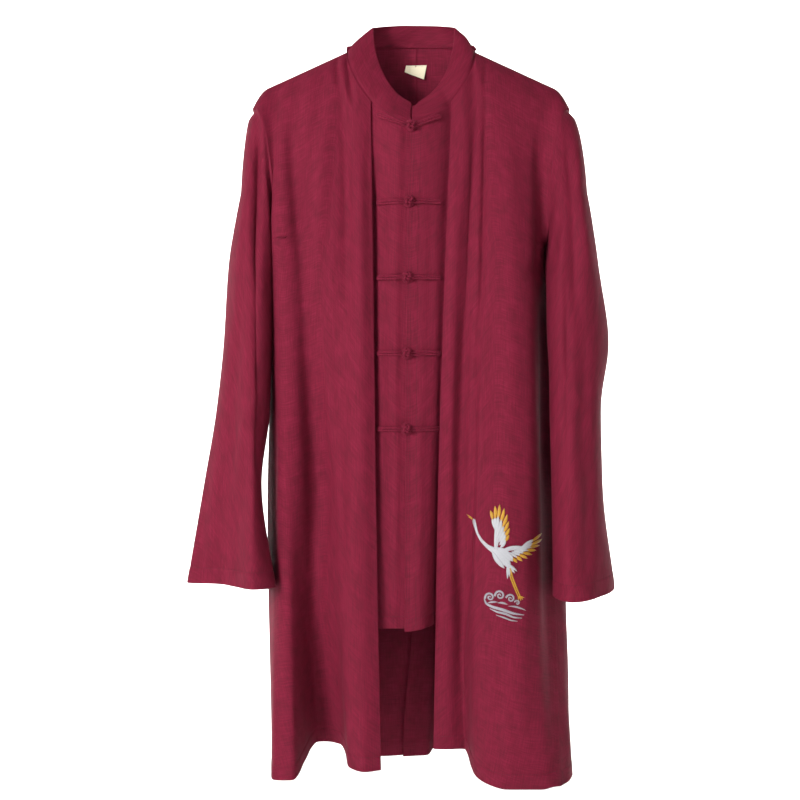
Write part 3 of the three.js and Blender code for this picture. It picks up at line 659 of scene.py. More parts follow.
BACK_LEFT = PanelForm(
    Side.LEFT,
    False,
    (
        Fold((8, 6, 3, -2), (55, 59, 62, 64), -1007),
        Fold((30, 32, 36, 24), (56, 62, 66, 66), -1006),
        Fold((50, 52, 52, 36), (56, 63, 70, 97), -1005),
        Fold((96, 98, 100, 100), (55, 58, 62, 92), -1004),
        Fold((140, 142, 158, 162), (52, 54, 66, 84), -1003),
        Fold((182, 178, 212, 214), (46, 38, 52, 52), -1002),
        Fold((185, 184, 220, 222), (40, 24, 34, -4), -1001),
        Fold((187, 185.5, 212, 215), (30, 14, 20, -52), -1000),
    ),
    (189, 203, 198.5),
    (8, 8, -76),
    -1000,
)


@dataclass
class BodyPanel:
    """A long front or a half back, from the neck and shoulder seams to the hem."""

    name: str
    form: PanelForm
    seed: int
    flat: Pair
    hem_depth: float = 19.0
    hem_rows: tuple[float, ...] = (8.0, 12.0, 15.5, 17.8, 19.0, 20.2, 22.5)
    spacing: Pair = (2.5, 5.2)

    def shape(self) -> Cloth:
        """The panel's outer face with its creases, seams and hem."""
        front, side = self.form.front, self.form.side
        grid = cut_grid(self.form.grid(), self.spacing, self.hem_rows)
        cloth = Cloth(grid, -side.value if front else side.value)
        far = cloth.from_edges()
        x, z = grid[..., 0], grid[..., 2]
        calm = ease(far["top"] / 60) * ease(far["first"] / 25 + 0.25) * ease(far["last"] / 12)
        lift = ripples(far["first"], z, self.seed, 0.55) * calm
        for crease in CREASES[self.name]:
            lift = lift + crease.lift(x, z) * ease(far["last"] / 6 + 0.2) * ease(far["top"] / 9)
        cloth.raise_by(lift)
        cloth.hem(self.hem_depth, 0.45, 0.5)
        cloth.roll_seams(["last", "top"], 0.3)
        if not front:
            seamed = ease((z[:, :1] - VENT_TOP) / 12)
            cloth.raise_by(-0.8 * seamed * close_by(cloth.from_edges()["first"], 1.5))
            cloth.turn_in("first", 0.3 + 0.4 * seamed)
            cloth.points[:, 0, 0] -= side.value * 0.9 * seamed[:, 0]
        cloth.turn_in("last")
        corner = np.abs(cloth.points[:1, :, 0]) - NECK_HALF
        cloth.turn_in("top", 3.0 - 2.8 * close_by(corner, 5))
        return cloth


@dataclass(frozen=True)
class SleeveForm:
    """The form of a sleeve: its long folds, going round from the outside over the front."""

    body_front: PanelForm
    body_back: PanelForm
    folds: tuple[Fold, ...]

    def section(self, share: Array, z: Array) -> Array:
        """Points of the hanging sleeve's section at shares of the way round and heights z."""
        xs = np.stack([curve(SLEEVE_HEIGHTS, f.x, z) for f in self.folds], -1)
        ys = np.stack([curve(SLEEVE_HEIGHTS, f.y, z) for f in self.folds], -1)
        return np.stack([*ring_curve(share, xs, ys), z], -1)

    def armhole(self, share: Array) -> Array:
        """Points of the armhole seam: down in front, and up behind."""
        front = share <= 0.5
        a = np.where(front, 2 * share, 2 - 2 * share)
        z = mix(TIP_Z, UNDERARM_Z, (1 - np.cos(np.pi * a)) / 2)
        ahead, behind = (body.at(np.full(share.shape, body.last), z) for body in (self.body_front, self.body_back))
        return np.where(front[..., None], ahead, behind)

    def grid(self) -> Array:
        """The whole sleeve, close set, with rows from the armhole to the cuff."""
        share = np.linspace(0, 1, 361)[None, :]
        t = np.linspace(0, 1, 300)[:, None]
        start = self.armhole(share[0] % 1.0)[None]
        cuff_x = np.broadcast_to(np.arange(len(self.folds), dtype=float), share.shape + (len(self.folds),))
        ends = np.broadcast_to(np.array([f.end for f in self.folds], float), cuff_x.shape)
        cuff = ring_curve(share % 1.0, cuff_x, ends)[1]
        z = mix(start[..., 2], cuff, t**1.4)
        around = np.broadcast_to(share % 1.0, z.shape)
        carry = np.clip(1 - t / 0.34, 0, 1) ** 2
        offset = start - self.section(share % 1.0, start[..., 2])
        points = self.section(around, z) + offset * carry[..., None]
        points[..., 2] = z
        return points


def ring_curve(share: Array, xs: Array, ys: Array) -> tuple[Array, Array]:
    """A closed centripetal curve through points, read at shares of the way round.

    Args:
        share: shares of the way round, from 0 up to 1.
        xs: the points' first coordinates, along the last axis.
        ys: the points' second coordinates, along the last axis.

    Returns:
        Both coordinates at those shares.
    """
    n = xs.shape[-1]
    place = share * n
    first = np.floor(place).astype(int)
    t = place - first
    shape = np.broadcast_shapes(t.shape, xs.shape[:-1])
    t, first = np.broadcast_to(t, shape), np.broadcast_to(first, shape)
    xs, ys = np.broadcast_to(xs, shape + (n,)), np.broadcast_to(ys, shape + (n,))
    px, py = ([pick(table, (first + k) % n) for k in (-1, 0, 1, 2)] for table in (xs, ys))
    gap = [((px[k + 1] - px[k]) ** 2 + (py[k + 1] - py[k]) ** 2) ** 0.25 for k in range(3)]
    out = []
    for p in (px, py):
        t1 = (p[1] - p[0]) / gap[0] - (p[2] - p[0]) / (gap[0] + gap[1]) + (p[2] - p[1]) / gap[1]
        t2 = (p[2] - p[1]) / gap[1] - (p[3] - p[1]) / (gap[1] + gap[2]) + (p[3] - p[2]) / gap[2]
        t1, t2 = t1 * gap[1], t2 * gap[1]
        c2, c3 = -3 * p[1] + 3 * p[2] - 2 * t1 - t2, 2 * p[1] - 2 * p[2] + t1 + t2
        out.append(p[1] + t * (t1 + t * (c2 + t * c3)))
    return out[0], out[1]


SLEEVE_RIGHT = SleeveForm(
    FRONT_RIGHT,
    BACK_RIGHT,
    (
        Fold((-237, -254, -261, -271, -288, -312), (-4, -4, -4, -5, -6, -8), -741),
        Fold((-228, -238, -242, -248, -256, -262), (-44, -48, -46, -44, -38, -22), -741),
        Fold((-205, -207, -207, -208, -212, -211), (-60, -64, -64, -66, -69, -76), -739),
        Fold((-190, -190, -192, -194, -205, -184.5), (-25, -22, -24, -27, -32, -53), -740),
        Fold((-198, -210, -212, -216, -226, -226), (36, 34, 31, 28, 26, 24), -741),
        Fold((-226, -240, -244, -252, -266, -284), (38, 38, 37, 34, 31, 34), -741),
    ),
)
SLEEVE_LEFT = SleeveForm(
    FRONT_LEFT,
    BACK_LEFT,
    (
        Fold((244, 259, 275.5, 264, 265, 281), (-4, -6, -6, -6, -12, -14), -746),
        Fold((234, 244, 250, 248, 246, 244), (-46, -58, -56, -58, -67, -80), -750),
        Fold((206, 205, 204, 204, 206, 208), (-60, -66, -70, -77, -84, -92), -753),
        Fold((190, 190, 190, 189, 190, 190), (-26, -30, -36, -42, -47, -54), -751),
        Fold((200, 210, 213, 214, 215, 222), (34, 26, 20, 11, 4, -2), -748),
        Fold((230, 244, 252, 248, 248, 260), (38, 38, 38, 32, 26, 24), -746),
    ),
)


@dataclass
class Sleeve:
    """A sleeve cut in one piece, from the armhole to a wide plain cuff."""

    name: str
    form: SleeveForm
    side: Side
    seed: int
    flat: Pair
    hem_depth: float = 22.0
    hem_rows: tuple[float, ...] = (9.0, 14.0, 18.0, 20.6, 22.0, 23.4, 26.0)
    spacing: Pair = (2.4, 5.0)
    near_body: float = 4.0

    def shape(self) -> Cloth:
        """The sleeve's outer face with its creases and its hem."""
        grid = spaced(self.form.grid(), 1, (0.0,), (0.0,), self.spacing[0])[:, :-1]
        grid = spaced(grid, 0, EDGE_ROWS, EDGE_ROWS + self.hem_rows, self.spacing[1])
        cloth = Cloth(grid, self.side.value, around=True)
        far = cloth.from_edges()
        x, z = grid[..., 0], grid[..., 2]
        facing = cloth.normals()[..., 1]
        turn = 2 * np.pi * np.arange(grid.shape[1]) / grid.shape[1]
        wave = ripples(60 * np.cos(turn)[None, :] + 0 * z, z + 60 * np.sin(turn)[None, :], self.seed, 0.6)
        lift = wave * ease(far["top"] / 50)
        inwards = ease(-self.side.value * cloth.normals()[..., 0] * 1.5 - 0.3)
        lift = lift + self.near_body * inwards * ease((z + 470) / 90) * ease(far["top"] / 40)
        for crease in CREASES[self.name]:
            seen = ease(facing * (1 if crease.behind else -1) * 1.6 + 0.2)
            lift = lift + crease.lift(x, z) * seen * ease(far["top"] / 14)
        cloth.raise_by(lift)
        cloth.hem(self.hem_depth, 0.4, 0.45)
        share = np.arange(grid.shape[1]) / grid.shape[1]
        head = close_by(np.minimum(share, 1 - share), 0.09)
        down = cloth.from_edges()["top"] / 6
        cloth.raise_by(-4.5 * head * down * np.exp(0.5 - down**2 / 2))
        cloth.roll_seams(["top"], 0.2)
        cloth.turn_in("top", 1.6)
        return cloth


@dataclass
class InnerFront:
    """Half of the short buttoned front, which hangs behind the long front edges."""

    name: str
    side: Side
    panel: PanelForm
    seed: int
    flat: Pair
    hem_depth: float = 16.0
    hem_rows: tuple[float, ...] = (8.0, 12.0, 14.8, 16.0, 17.2, 20.0)
    spacing: Pair = (2.6, 3.8)

    def edge_x(self, z: Array) -> Array:
        """Where the long front's edge hangs over this piece."""
        return self.panel.at(np.zeros(np.shape(z)), z)[..., 0]

    def depth(self, x: Array, z: Array) -> Array:
        """The y of this piece's outer face, without the lap."""
        edge = self.panel.at(np.zeros(np.shape(z)), np.minimum(z, TIP_Z))
        recess = mix(2.2, 12.0 if self.side is Side.RIGHT else 7.0, ease((z + 120) / -110))
        edge_y = edge[..., 1] + recess
        share = np.abs(x / edge[..., 0])
        middle_y = curve((-110, -300, -640, -800), (-60, -61, -57, -50), z)
        bowed = mix(middle_y, edge_y, np.minimum(1, 1.06 * share) ** 3.2)
        past = np.abs(x) - np.abs(edge[..., 0])
        steps = np.array([-5, 0, 5]).reshape((3,) + (1,) * np.ndim(past))
        near = self.side.value * (np.abs(edge[..., 0]) + np.maximum(0, past + steps))
        behind = self.panel.depth(near, np.minimum(z, neck_z(near, True))).max(0) + WALL + 0.9
        close = ease(past / (INNER_SEAM - 5))
        return np.where(share < 1, bowed, np.maximum(behind, mix(edge_y + 0.1 * past, behind, close)))

    def face(self, x: Array, z: Array) -> Array:
        """The y of this piece's outer face, tucked behind the other half where they lap."""
        y = self.depth(x, z)
        if self.side is Side.RIGHT:
            y = y + 2.5 * ease((x - lap_x(z) + INNER_LAP) / 10)
        return y

    def grid(self) -> Array:
        """The whole half, close set, with rows from the neck seam to its hem."""
        t, c = np.linspace(0, 1, 220)[:, None], np.linspace(0, 1, 71)[None, :]
        z = np.full((220, 71), YOKE_TO_HEM[0])
        drop = 5 * np.clip(1 - 9 * c / 4, 0, 1) if self.side is Side.LEFT else 0 * c
        for _ in range(6):
            start = lap_x(z) + (INNER_LAP if self.side is Side.RIGHT else 0)
            x = mix(start, self.edge_x(z) + self.side.value * INNER_SEAM, c)
            under = ease((np.abs(x) - 50) / 10) * 3
            z = mix(neck_z(x, True) - under, INNER_HEM - drop, t)
        return np.stack([x, self.face(x, z), z], -1)

    def shape(self) -> Cloth:
        """The half's outer face with its creases, hem and edge."""
        grid = cut_grid(self.grid(), self.spacing, self.hem_rows)
        cloth = Cloth(grid, -self.side.value)
        far = cloth.from_edges()
        x, z = grid[..., 0], grid[..., 2]
        lift = ripples(x, z, self.seed, 0.35) * ease(far["top"] / 40) * ease(far["last"] / 30)
        for crease in CREASES[self.name]:
            lift = lift + crease.lift(x, z) * ease(far["top"] / 14)
        gutter = 2.0 if self.side is Side.RIGHT else 0.8
        lift = lift - gutter * close_by(np.abs(x) - np.abs(self.edge_x(z)) + 0.6, 2.2) * ease(far["top"] / 20)
        cloth.raise_by(lift + 0.4 * ease((self.hem_depth - far["bottom"]) / 1.2 + 0.5))
        cloth.sew("bottom", self.hem_depth, 0.4)
        for distance in (2.0, 5.5, 15.0) if self.side is Side.LEFT else ():
            cloth.sew("first", distance, 0.35)
        cloth.roll_seams(["top"], 0.6)
        return cloth


def lap_x(z: Array) -> Array:
    """Where the lapped edge of the short front hangs."""
    return curve((-116, -300, -800), (-1, -6, -9), z)


@dataclass
class Collar:
    """The standing collar: a band on the neck seam, open in front, that leans in towards its top edge."""

    inner: dict[Side, InnerFront]
    name: str = "standing_collar"
    half: float = 57.0
    shift: float = 4.0
    opening: float = 1.2
    swell: float = 14.0
    top_z: Triple = (-80.0, 35.0, 50.0)  # of the top edge in front, at the side and behind
    top_y: Triple = (-38.0, -1.0, 38.0)
    corner: float = 6.0
    flat: Pair = (0.47, 0.046)

    def seam(self, side: Side, angle: Array) -> Array:
        """Points of the neck seam at angles from the front, in radians."""
        front = angle <= np.pi / 2
        sign = side.value
        x = sign * np.maximum(NECK_HALF * np.sin(angle), np.where(front, self.opening, -1e9))
        panel, back = self.inner[side].panel, {Side.RIGHT: BACK_RIGHT, Side.LEFT: BACK_LEFT}[side]
        z = np.where(front, neck_z(x, True), neck_z(x, False))
        edge = abs(float(panel.at(np.array(0.0), np.array(YOKE_TO_HEM[0]))[0]))
        own = self.inner[side].depth(x, z) - 2.1 * np.minimum(1, np.abs(x) / edge) ** 4
        ahead = np.where(np.abs(x) < edge, own, panel.depth(x, z))
        return np.stack([x, np.where(front, ahead, back.depth(x, z)), z], -1)

    def top(self, side: Side, angle: Array) -> Array:
        """Points of the collar's top edge at angles from the front, in radians."""
        along = 1 - np.cos(angle)
        front = angle <= np.pi / 2
        (z0, z1, z2), (y0, y1, y2) = self.top_z, self.top_y
        z = np.where(front, mix(z0, z1, np.minimum(along, 1) ** 0.88), mix(z1, z2, along - 1))
        y = np.where(front, mix(y0, y1, along), mix(y1, y2, along - 1))
        corner = self.corner * np.clip(1 - np.degrees(angle) / 9, 0, 1) ** 2
        return np.stack([side.value * self.half * np.sin(angle) + self.shift, y, z - corner], -1)

    def grid(self) -> Array:
        """The whole band, close set, with rows from the top edge down to the seam."""
        angle = np.linspace(math.asin(self.opening / NECK_HALF), np.pi, 150)
        bottoms, tops, swells = [], [], []
        for side in Side:
            bottom, top = self.seam(side, angle), self.top(side, angle)
            top[:, 0] = np.where((np.abs(bottom[:, 0]) < 2) & (angle < 1), bottom[:, 0], top[:, 0])
            swell = np.stack([np.sin(angle) * side.value, -np.cos(angle), 0 * angle], -1)
            swell = swell * (self.swell * np.sin(angle) ** 2)[:, None]
            keep = slice(None) if side is Side.RIGHT else slice(-2, None, -1)
            bottoms.append(bottom[keep])
            tops.append(top[keep])
            swells.append(swell[keep])
        bottom, top, swell = (np.concatenate(p)[None] for p in (bottoms, tops, swells))
        t = np.linspace(1, 0, 60)[:, None, None]
        return mix(bottom, top, t) + swell * t * (1 - t)

    def shape(self) -> Cloth:
        """The collar's outer face with a rounded top edge and a seam line below it."""
        grid = spaced(self.grid(), 1, EDGE_ROWS, EDGE_ROWS, 2.6)
        grid = spaced(grid, 0, (0.0, 0.4, 1.0, 2.0, 3.4), (0.0, 0.5, 1.2, 2.2, 3.6), 2.4)
        cloth = Cloth(grid, 1)
        if cloth.normals()[3, 8, 1] > 0:
            cloth.outward = -1
        far = cloth.from_edges()
        waves = ripples(far["first"], grid[..., 2], 41, 0.35) * ease(far["first"] / 10) * ease(far["last"] / 10)
        cloth.raise_by(waves * ease(far["bottom"] / 8))
        cloth.raise_by(-0.5 * close_by(far["top"], 0.8))
        cloth.roll_seams(["bottom"], 1.6, 3.0)
        return cloth


class Ground:
    """The outermost cloth of some pieces as seen from the front, for what is sewn on it."""

    def __init__(self, *pieces: Object) -> None:
        """Reads the pieces' faces."""
        graph = bpy.context.evaluated_depsgraph_get()
        self.trees = [BVHTree.FromObject(piece, graph) for piece in pieces]

    def at(self, x: Array, z: Array) -> tuple[Array, Array]:
        """Points of the cloth and its normals.

        Args:
            x: places across, in mm.
            z: heights, in mm.

        Returns:
            The points in mm, and unit normals that point forwards.
        """
        points, normals = np.empty(x.shape + (3,)), np.empty(x.shape + (3,))
        last = (0.0, Vector((0.0, -1.0, 0.0)))
        for place in np.ndindex(x.shape):
            start = Vector((x[place] * MM, -0.4, z[place] * MM))
            hits = [tree.ray_cast(start, Vector((0.0, 1.0, 0.0)))[:2] for tree in self.trees]
            seen = [(spot.y, normal) for spot, normal in hits if spot is not None]
            last = min(seen, key=lambda hit: hit[0]) if seen else last
            points[place] = x[place], last[0] / MM, z[place]
            normals[place] = last[1] if last[1].y < 0 else -last[1]
        return points, normals


def relax(path: Array, rounds: int) -> Array:
    """Draws each point of a closed path to the middle of its neighbours, some rounds."""
    for _ in range(rounds):
        path = (np.roll(path, 1, 0) + 2 * path + np.roll(path, -1, 0)) / 4
    return path


def even_path(path: Array, step: float) -> Array:
    """Resamples a closed path with points a step of mm apart."""
    whole = np.concatenate([path, path[:1]])
    run = lengths(whole, 0)
    at = np.linspace(0, run[-1], max(8, int(run[-1] / step)))[:-1]
    return np.stack([np.interp(at, run, whole[:, c]) for c in range(path.shape[1])], -1)


@dataclass
class Frog:
    """One fastening: a twin cord with a ring on the wearer's right, and one with a knot on the wearer's left."""

    number: int
    ground: Ground
    cord: float = 2.0
    spread: float = 1.75
    ring: float = 6.6
    ball: float = 4.7
    weave: float = 1.1
    lift: float = 5.8
    right_end: float = -46.0
    left_end: float = 39.0
    first_z: float = -118.0
    apart: float = 102.0
    first_rise: float = 17.0

    @property
    def middle(self) -> Pair:
        """Where its knot is, as x and z."""
        z = self.first_z - self.apart * (self.number - 1)
        return float(lap_x(np.array(z))) + 1.0, z

    def laid(self, flat: Array) -> Array:
        """A closed path on the cloth, from places round the fastening's own middle line."""
        path = relax(even_path(flat, 0.8), 3)
        rise = self.first_rise * (np.abs(path[:, 0] / self.right_end)) ** 1.3 if self.number == 1 else 0.0
        points, _ = self.ground.at(path[:, 0], self.middle[1] + path[:, 1] + rise)
        points[:, 1] = relax(points[:, 1], 4) - self.cord * 0.85
        return points

    def hairpin(self, near: float, far: float, centre: float | None) -> Array:
        """A twin cord from near to far, opened into a ring where centre is given."""
        s, sign = self.spread, 1.0 if far > near else -1.0
        bend = np.linspace(np.pi / 2, -np.pi / 2, 7)
        outer = np.stack([far + sign * (s * np.cos(bend) - s), s * np.sin(bend)], -1)
        if centre is None:
            inner = np.stack([near - sign * s * np.cos(bend[::-1]), s * np.sin(bend[::-1])], -1)
        else:
            start = math.asin(s / self.ring)
            turn = np.linspace(-start, start - 2 * np.pi, 25)
            inner = np.stack([centre + sign * self.ring * np.cos(turn), self.ring * np.sin(turn)], -1)
        return np.concatenate([outer, inner])

    def loop(self) -> Shell:
        """The ring and its twin cord."""
        x = self.middle[0]
        return tube(self.laid(self.hairpin(x, self.right_end, x)), self.cord, FORWARDS, closed=True)

    def knot(self) -> tuple[Shell, ...]:
        """The knotted ball, its core and its twin cord."""
        x, z = self.middle
        arm = tube(self.laid(self.hairpin(x + 3.5, self.left_end, None)), self.cord, FORWARDS, closed=True)
        base = float(self.ground.at(np.array([x]), np.array([z]))[0][0, 1])
        t = np.linspace(0, 2 * np.pi, 181)[:-1]
        high, out = math.radians(56) * np.cos(4 * t), self.ball + self.weave * np.sin(8 * t)
        ray = np.stack([np.cos(high) * np.cos(3 * t), -np.sin(high), np.cos(high) * np.sin(3 * t)], -1)
        middle = np.array([x, base - self.lift, z])
        strand = tube(middle + ray * out[:, None], self.cord * 0.92, ray, closed=True)
        along = np.array([-3.8, -2.8, 0.0, 2.2, 3.4, 5.8])
        core = tube(middle - along[:, None] * FORWARDS, np.array([0.9, 3.0, 4.0, 3.0, 2.0, 2.0]), np.eye(3)[2])
        return strand, core, arm


@dataclass
class NeckLabel:
    """A blank woven tape, sewn by its top edge inside the back, with its lower edge curled forwards."""

    corners: tuple[Triple, ...] = (
        (-6.5, -4.0, 0.0),
        (23.0, -4.0, 0.0),
        (-8.5, -14.0, 3.5),
        (19.0, -25.0, 5.0),
    )
    flat: Pair = (0.0295, 0.0185)
    thickness: float = 0.35
    clear: float = 0.3

    def shape(self) -> Cloth:
        """The tape's front face."""
        u, v = np.linspace(0, 1, 30)[None, :, None], np.linspace(0, 1, 18)[:, None, None]
        a, b, c, d = (np.array(corner) for corner in self.corners)
        spot = mix(mix(a, b, u), mix(c, d, u), v)
        x, z = spot[..., 0], spot[..., 1]
        back = np.where(x < 8, BACK_RIGHT.depth(x, z), BACK_LEFT.depth(x, z))
        y = back - WALL - self.clear - self.thickness - spot[..., 2] * v[..., 0]
        cloth = Cloth(np.stack([x, y, z], -1), -1)
        cloth.sew("top", 1.6, 0.1)
        return cloth


Ribbon = Sequence[Triple]
Wing = list[tuple[Pair, Pair]]


def leaf(x0: float, z0: float, x1: float, z1: float, half: float, bow: float = 0.0) -> Ribbon:
    """A leaf of satin stitch between two places, as middle points with half widths.

    Args:
        x0: start, across.
        z0: start, up.
        x1: end, across.
        z1: end, up.
        half: half of its greatest width.
        bow: how far its middle bends aside.

    Returns:
        The ribbon.
    """
    length = math.hypot(x1 - x0, z1 - z0)
    aside = (-(z1 - z0) / length * bow, (x1 - x0) / length * bow)
    made = []
    for t, wide in ((0.0, 0.12), (0.2, 0.72), (0.45, 1.0), (0.75, 0.8), (0.93, 0.4), (1.0, 0.1)):
        bent = math.sin(math.pi * t)
        made.append((mix(x0, x1, t) + aside[0] * bent, mix(z0, z1, t) + aside[1] * bent, half * wide))
    return made


def feathers(wing: Wing, share: Pair, half: float, bow: float) -> list[Ribbon]:
    """The parts of a wing's feathers between two shares of their length, as leaves."""
    made = []
    for (x0, z0), (x1, z1) in wing:
        ends = [place for t in share for place in (mix(x0, x1, t), mix(z0, z1, t))]
        made.append(leaf(*ends, half, bow))
    return made


def curl(x: float, z: float, radius: float, start: float, turns: float, half: float) -> Ribbon:
    """A spiral of satin stitch that winds in towards its centre."""
    made = []
    for k in range(15):
        t = k / 14
        angle, r = math.radians(start) + 2 * math.pi * turns * t, radius * (1 - 0.82 * t)
        made.append((x + r * math.cos(angle), z + r * math.sin(angle), half * (1 - 0.45 * t)))
    return made


@dataclass(frozen=True)
class Embroidery:
    """A crane in flight over a curled cloud, in satin stitch: generic forms from a few named sizes."""

    crane: Pair = (118.0, -691.0)
    cloud: Pair = (121.0, -757.0)
    height: float = 0.55

    def white(self) -> list[Ribbon]:
        """The crane's neck, body, tail and the inner halves of its feathers."""
        neck = [(-33.5, 44, 0.8), (-34, 41, 1.9), (-32.5, 35, 1.5), (-30, 26, 1.4), (-25, 17, 1.7), (-17, 9, 2.4)]
        parts: list[Ribbon] = [neck + [(-8, 4, 4.2), (-2, 0, 5.0)]]
        parts += [leaf(-9, 7, 13, -19, 6.5, 1.5), leaf(-4, 8, 16, -10, 4.5, 2.0), leaf(-11, 3, 5, -19, 3.5, -1.0)]
        parts += feathers(self.raised(), (0.0, 0.62), 2.5, -0.8) + feathers(self.spread(), (0.0, 0.6), 2.3, 0.8)
        parts += [leaf(-7, 2, -6, 38, 3.2, -1.5), leaf(1, 4, 31, 8, 3.0, 1.5)]
        parts += [leaf(9, -13, 9 + 3.2 * k, -33 + 2.4 * k, 1.7, 0.4) for k in range(5)]
        return parts

    def gold(self) -> list[Ribbon]:
        """The crane's beak, legs and feather tips."""
        parts: list[Ribbon] = [leaf(-35, 44, -42.5, 49, 0.9), leaf(-34.5, 42.5, -40.5, 46, 0.6)]
        parts += feathers(self.raised(), (0.48, 1.0), 2.3, -0.6) + feathers(self.spread(), (0.45, 1.0), 2.2, 0.6)
        for aside in (0.0, 2.6):
            leg = ((10, -19, 1.2), (13, -31, 0.9), (18, -44, 0.9), (23, -56, 0.7))
            parts.append([(x + aside, z, half) for x, z, half in leg])
            parts += [leaf(23 + aside, -56, 23 + aside + dx, -56 - dz, 0.7) for dx, dz in ((1, 6), (4, 5), (6, 2.5))]
        return parts

    @staticmethod
    def raised() -> Wing:
        """The feathers of the raised wing, as starts and tips."""
        tips = ((-13, 57), (-7, 63), (-1, 65), (5, 60), (9, 52), (11, 43), (12, 34), (11, 25))
        return [((-8 + 1.1 * k, 33 - 3.6 * k), tip) for k, tip in enumerate(tips)]

    @staticmethod
    def spread() -> Wing:
        """The feathers of the spread wing, as starts and tips."""
        tips = ((60, 22), (60, 14), (55, 7.5), (49, 2), (43, -3), (36, -7), (29, -10), (22, -12))
        return [((29 - 2.9 * k, 9 - 1.2 * k), tip) for k, tip in enumerate(tips)]

    def grey(self) -> list[Ribbon]:
        """The cloud: curls that wind in, over long trailing wisps."""
        parts: list[Ribbon] = [
            curl(-17, 8, 6.4, 200, -1.5, 1.3),
            curl(-4, 11, 6.8, 190, -1.6, 1.3),
            curl(10, 7, 6.2, 170, -1.5, 1.2),
            curl(19, 1, 4.2, 160, -1.3, 1.0),
        ]
        parts.append([(-24, 6, 0.6), (-22, -1, 1.2), (-13, -5, 1.8), (0, -8, 1.9), (14, -13, 1.4), (28, -15, 0.4)])
        parts.append([(-17, -7, 0.4), (-8, -11, 1.2), (3, -13, 1.5), (14, -18, 1.1), (25, -19, 0.4)])
        parts.append([(-9, -15, 0.3), (1, -18, 1.0), (11, -22, 0.9), (19, -23, 0.3)])
        parts += [leaf(-20, 0, -7, 2, 1.4, 1.0), leaf(-7, 1, 6, -1, 1.4, 1.2), leaf(7, -3, 30, -9, 1.2, 1.6)]
        return parts

    def shells(self, ground: Ground, parts: Sequence[Ribbon], origin: Pair) -> list[Shell]:
        """Lays ribbons on the cloth as raised satin stitch.

        Args:
            ground: the cloth.
            parts: ribbons, from the origin.
            origin: x and z of the motif's own middle.

        Returns:
            One closed surface for each ribbon.
        """
        made = []
        aside = np.linspace(-1, 1, 7)[None, :]
        for number, part in enumerate(parts):
            table = np.array(part, float)
            run = lengths(table[:, :2], 0)
            at = np.linspace(0, run[-1], max(9, int(run[-1] / 1.6)))
            line = np.stack([np.interp(at, run, table[:, c]) for c in range(3)], -1)
            for _ in range(2):
                line[1:-1] = (line[:-2] + 2 * line[1:-1] + line[2:]) / 4
            way = unit(np.gradient(line[:, :2], axis=0))
            x = origin[0] + line[:, :1] - way[:, 1:] * line[:, 2:] * aside
            z = origin[1] + line[:, 1:2] + way[:, :1] * line[:, 2:] * aside
            points, normals = ground.at(x, z)
            raised = 0.25 + 0.06 * (number % 4) + self.height * np.sqrt(1 - 0.9 * aside**2)
            cloth = Cloth(points + normals * raised[..., None], 1)
            if cloth.normals()[..., 1].mean() > 0:
                cloth.outward = -1
            made.append(cloth.shell(0.4))
        return made


def colour(code: str) -> tuple[float, float, float, float]:
    """An sRGB hex value as a linear colour."""
    parts = [int(code[i : i + 2], 16) / 255 for i in (1, 3, 5)]
    linear = [p / 12.92 if p <= 0.04045 else ((p + 0.055) / 1.055) ** 2.4 for p in parts]
    return (linear[0], linear[1], linear[2], 1.0)


def node(tree: Tree, kind: str, settings: dict[str, object] | None = None, **inputs: object) -> Node:
    """Adds a node with its settings, and sets or links its inputs.

    Args:
        tree: the node tree.
        kind: the node's type.
        settings: its properties by name.
        inputs: a value or an output socket for each input; in_0 is the first input, and _ stands for a space.

    Returns:
        The new node.
    """
    made = tree.nodes.new(kind)
    for key, value in (settings or {}).items():
        setattr(made, key, value)
    for key, value in inputs.items():
        socket = made.inputs[int(key[3:])] if key.startswith("in_") else made.inputs[key.replace("_", " ")]
        if isinstance(value, Socket):
            tree.links.new(value, socket)
        else:
            socket.default_value = value
    return made


def new_material(name: str) -> tuple[Material, Tree]:
    """An empty node material and its tree."""
    material = bpy.data.materials.new(name)
    material.use_nodes = True
    material.node_tree.nodes.clear()
    return material, material.node_tree


def maths(tree: Tree, operation: str, *values: object) -> Socket:
    """Adds a math node on values or sockets, and gives its output."""
    inputs = {f"in_{place}": value for place, value in enumerate(values)}
    return node(tree, "ShaderNodeMath", {"operation": operation}, **inputs).outputs[0]


def noise(tree: Tree, place: Socket, scale: float, **inputs: float) -> Socket:
    """Adds noise over the flat cloth, and gives its value."""
    made = node(tree, "ShaderNodeTexNoise", {"noise_dimensions": "2D"}, Vector=place, Scale=scale, **inputs)
    return made.outputs["Fac"]


def tinted(tree: Tree, tone: Socket, stops: Sequence[tuple[float, str]]) -> Socket:
    """Adds a ramp from a tone to colours, each with the tone at which it is reached, and gives its output."""
    made = node(tree, "ShaderNodeValToRGB", None, Fac=tone)
    elements = made.color_ramp.elements
    elements[0].position, elements[1].position = stops[0][0], stops[-1][0]
    for place, _ in stops[1:-1]:
        elements.new(place)
    for element, (_, code) in zip(elements, stops):
        element.color = colour(code)
    return made.outputs["Color"]


def surface(tree: Tree, height: Socket, relief: float, **inputs: object) -> None:
    """Adds the shader with its bump of relief mm, and the output."""
    bump = node(tree, "ShaderNodeBump", None, Strength=0.5, Distance=relief * MM, Height=height).outputs["Normal"]
    shader = node(tree, "ShaderNodeBsdfPrincipled", None, IOR=1.5, Normal=bump, **inputs)
    node(tree, "ShaderNodeOutputMaterial", None, Surface=shader.outputs["BSDF"])


def ribs(tree: Tree, along: Socket, pitch: float) -> Socket:
    """A wave over one direction of the flat cloth, with a pitch in mm."""
    return maths(tree, "SINE", maths(tree, "MULTIPLY", along, 2 * math.pi / (pitch * MM)))


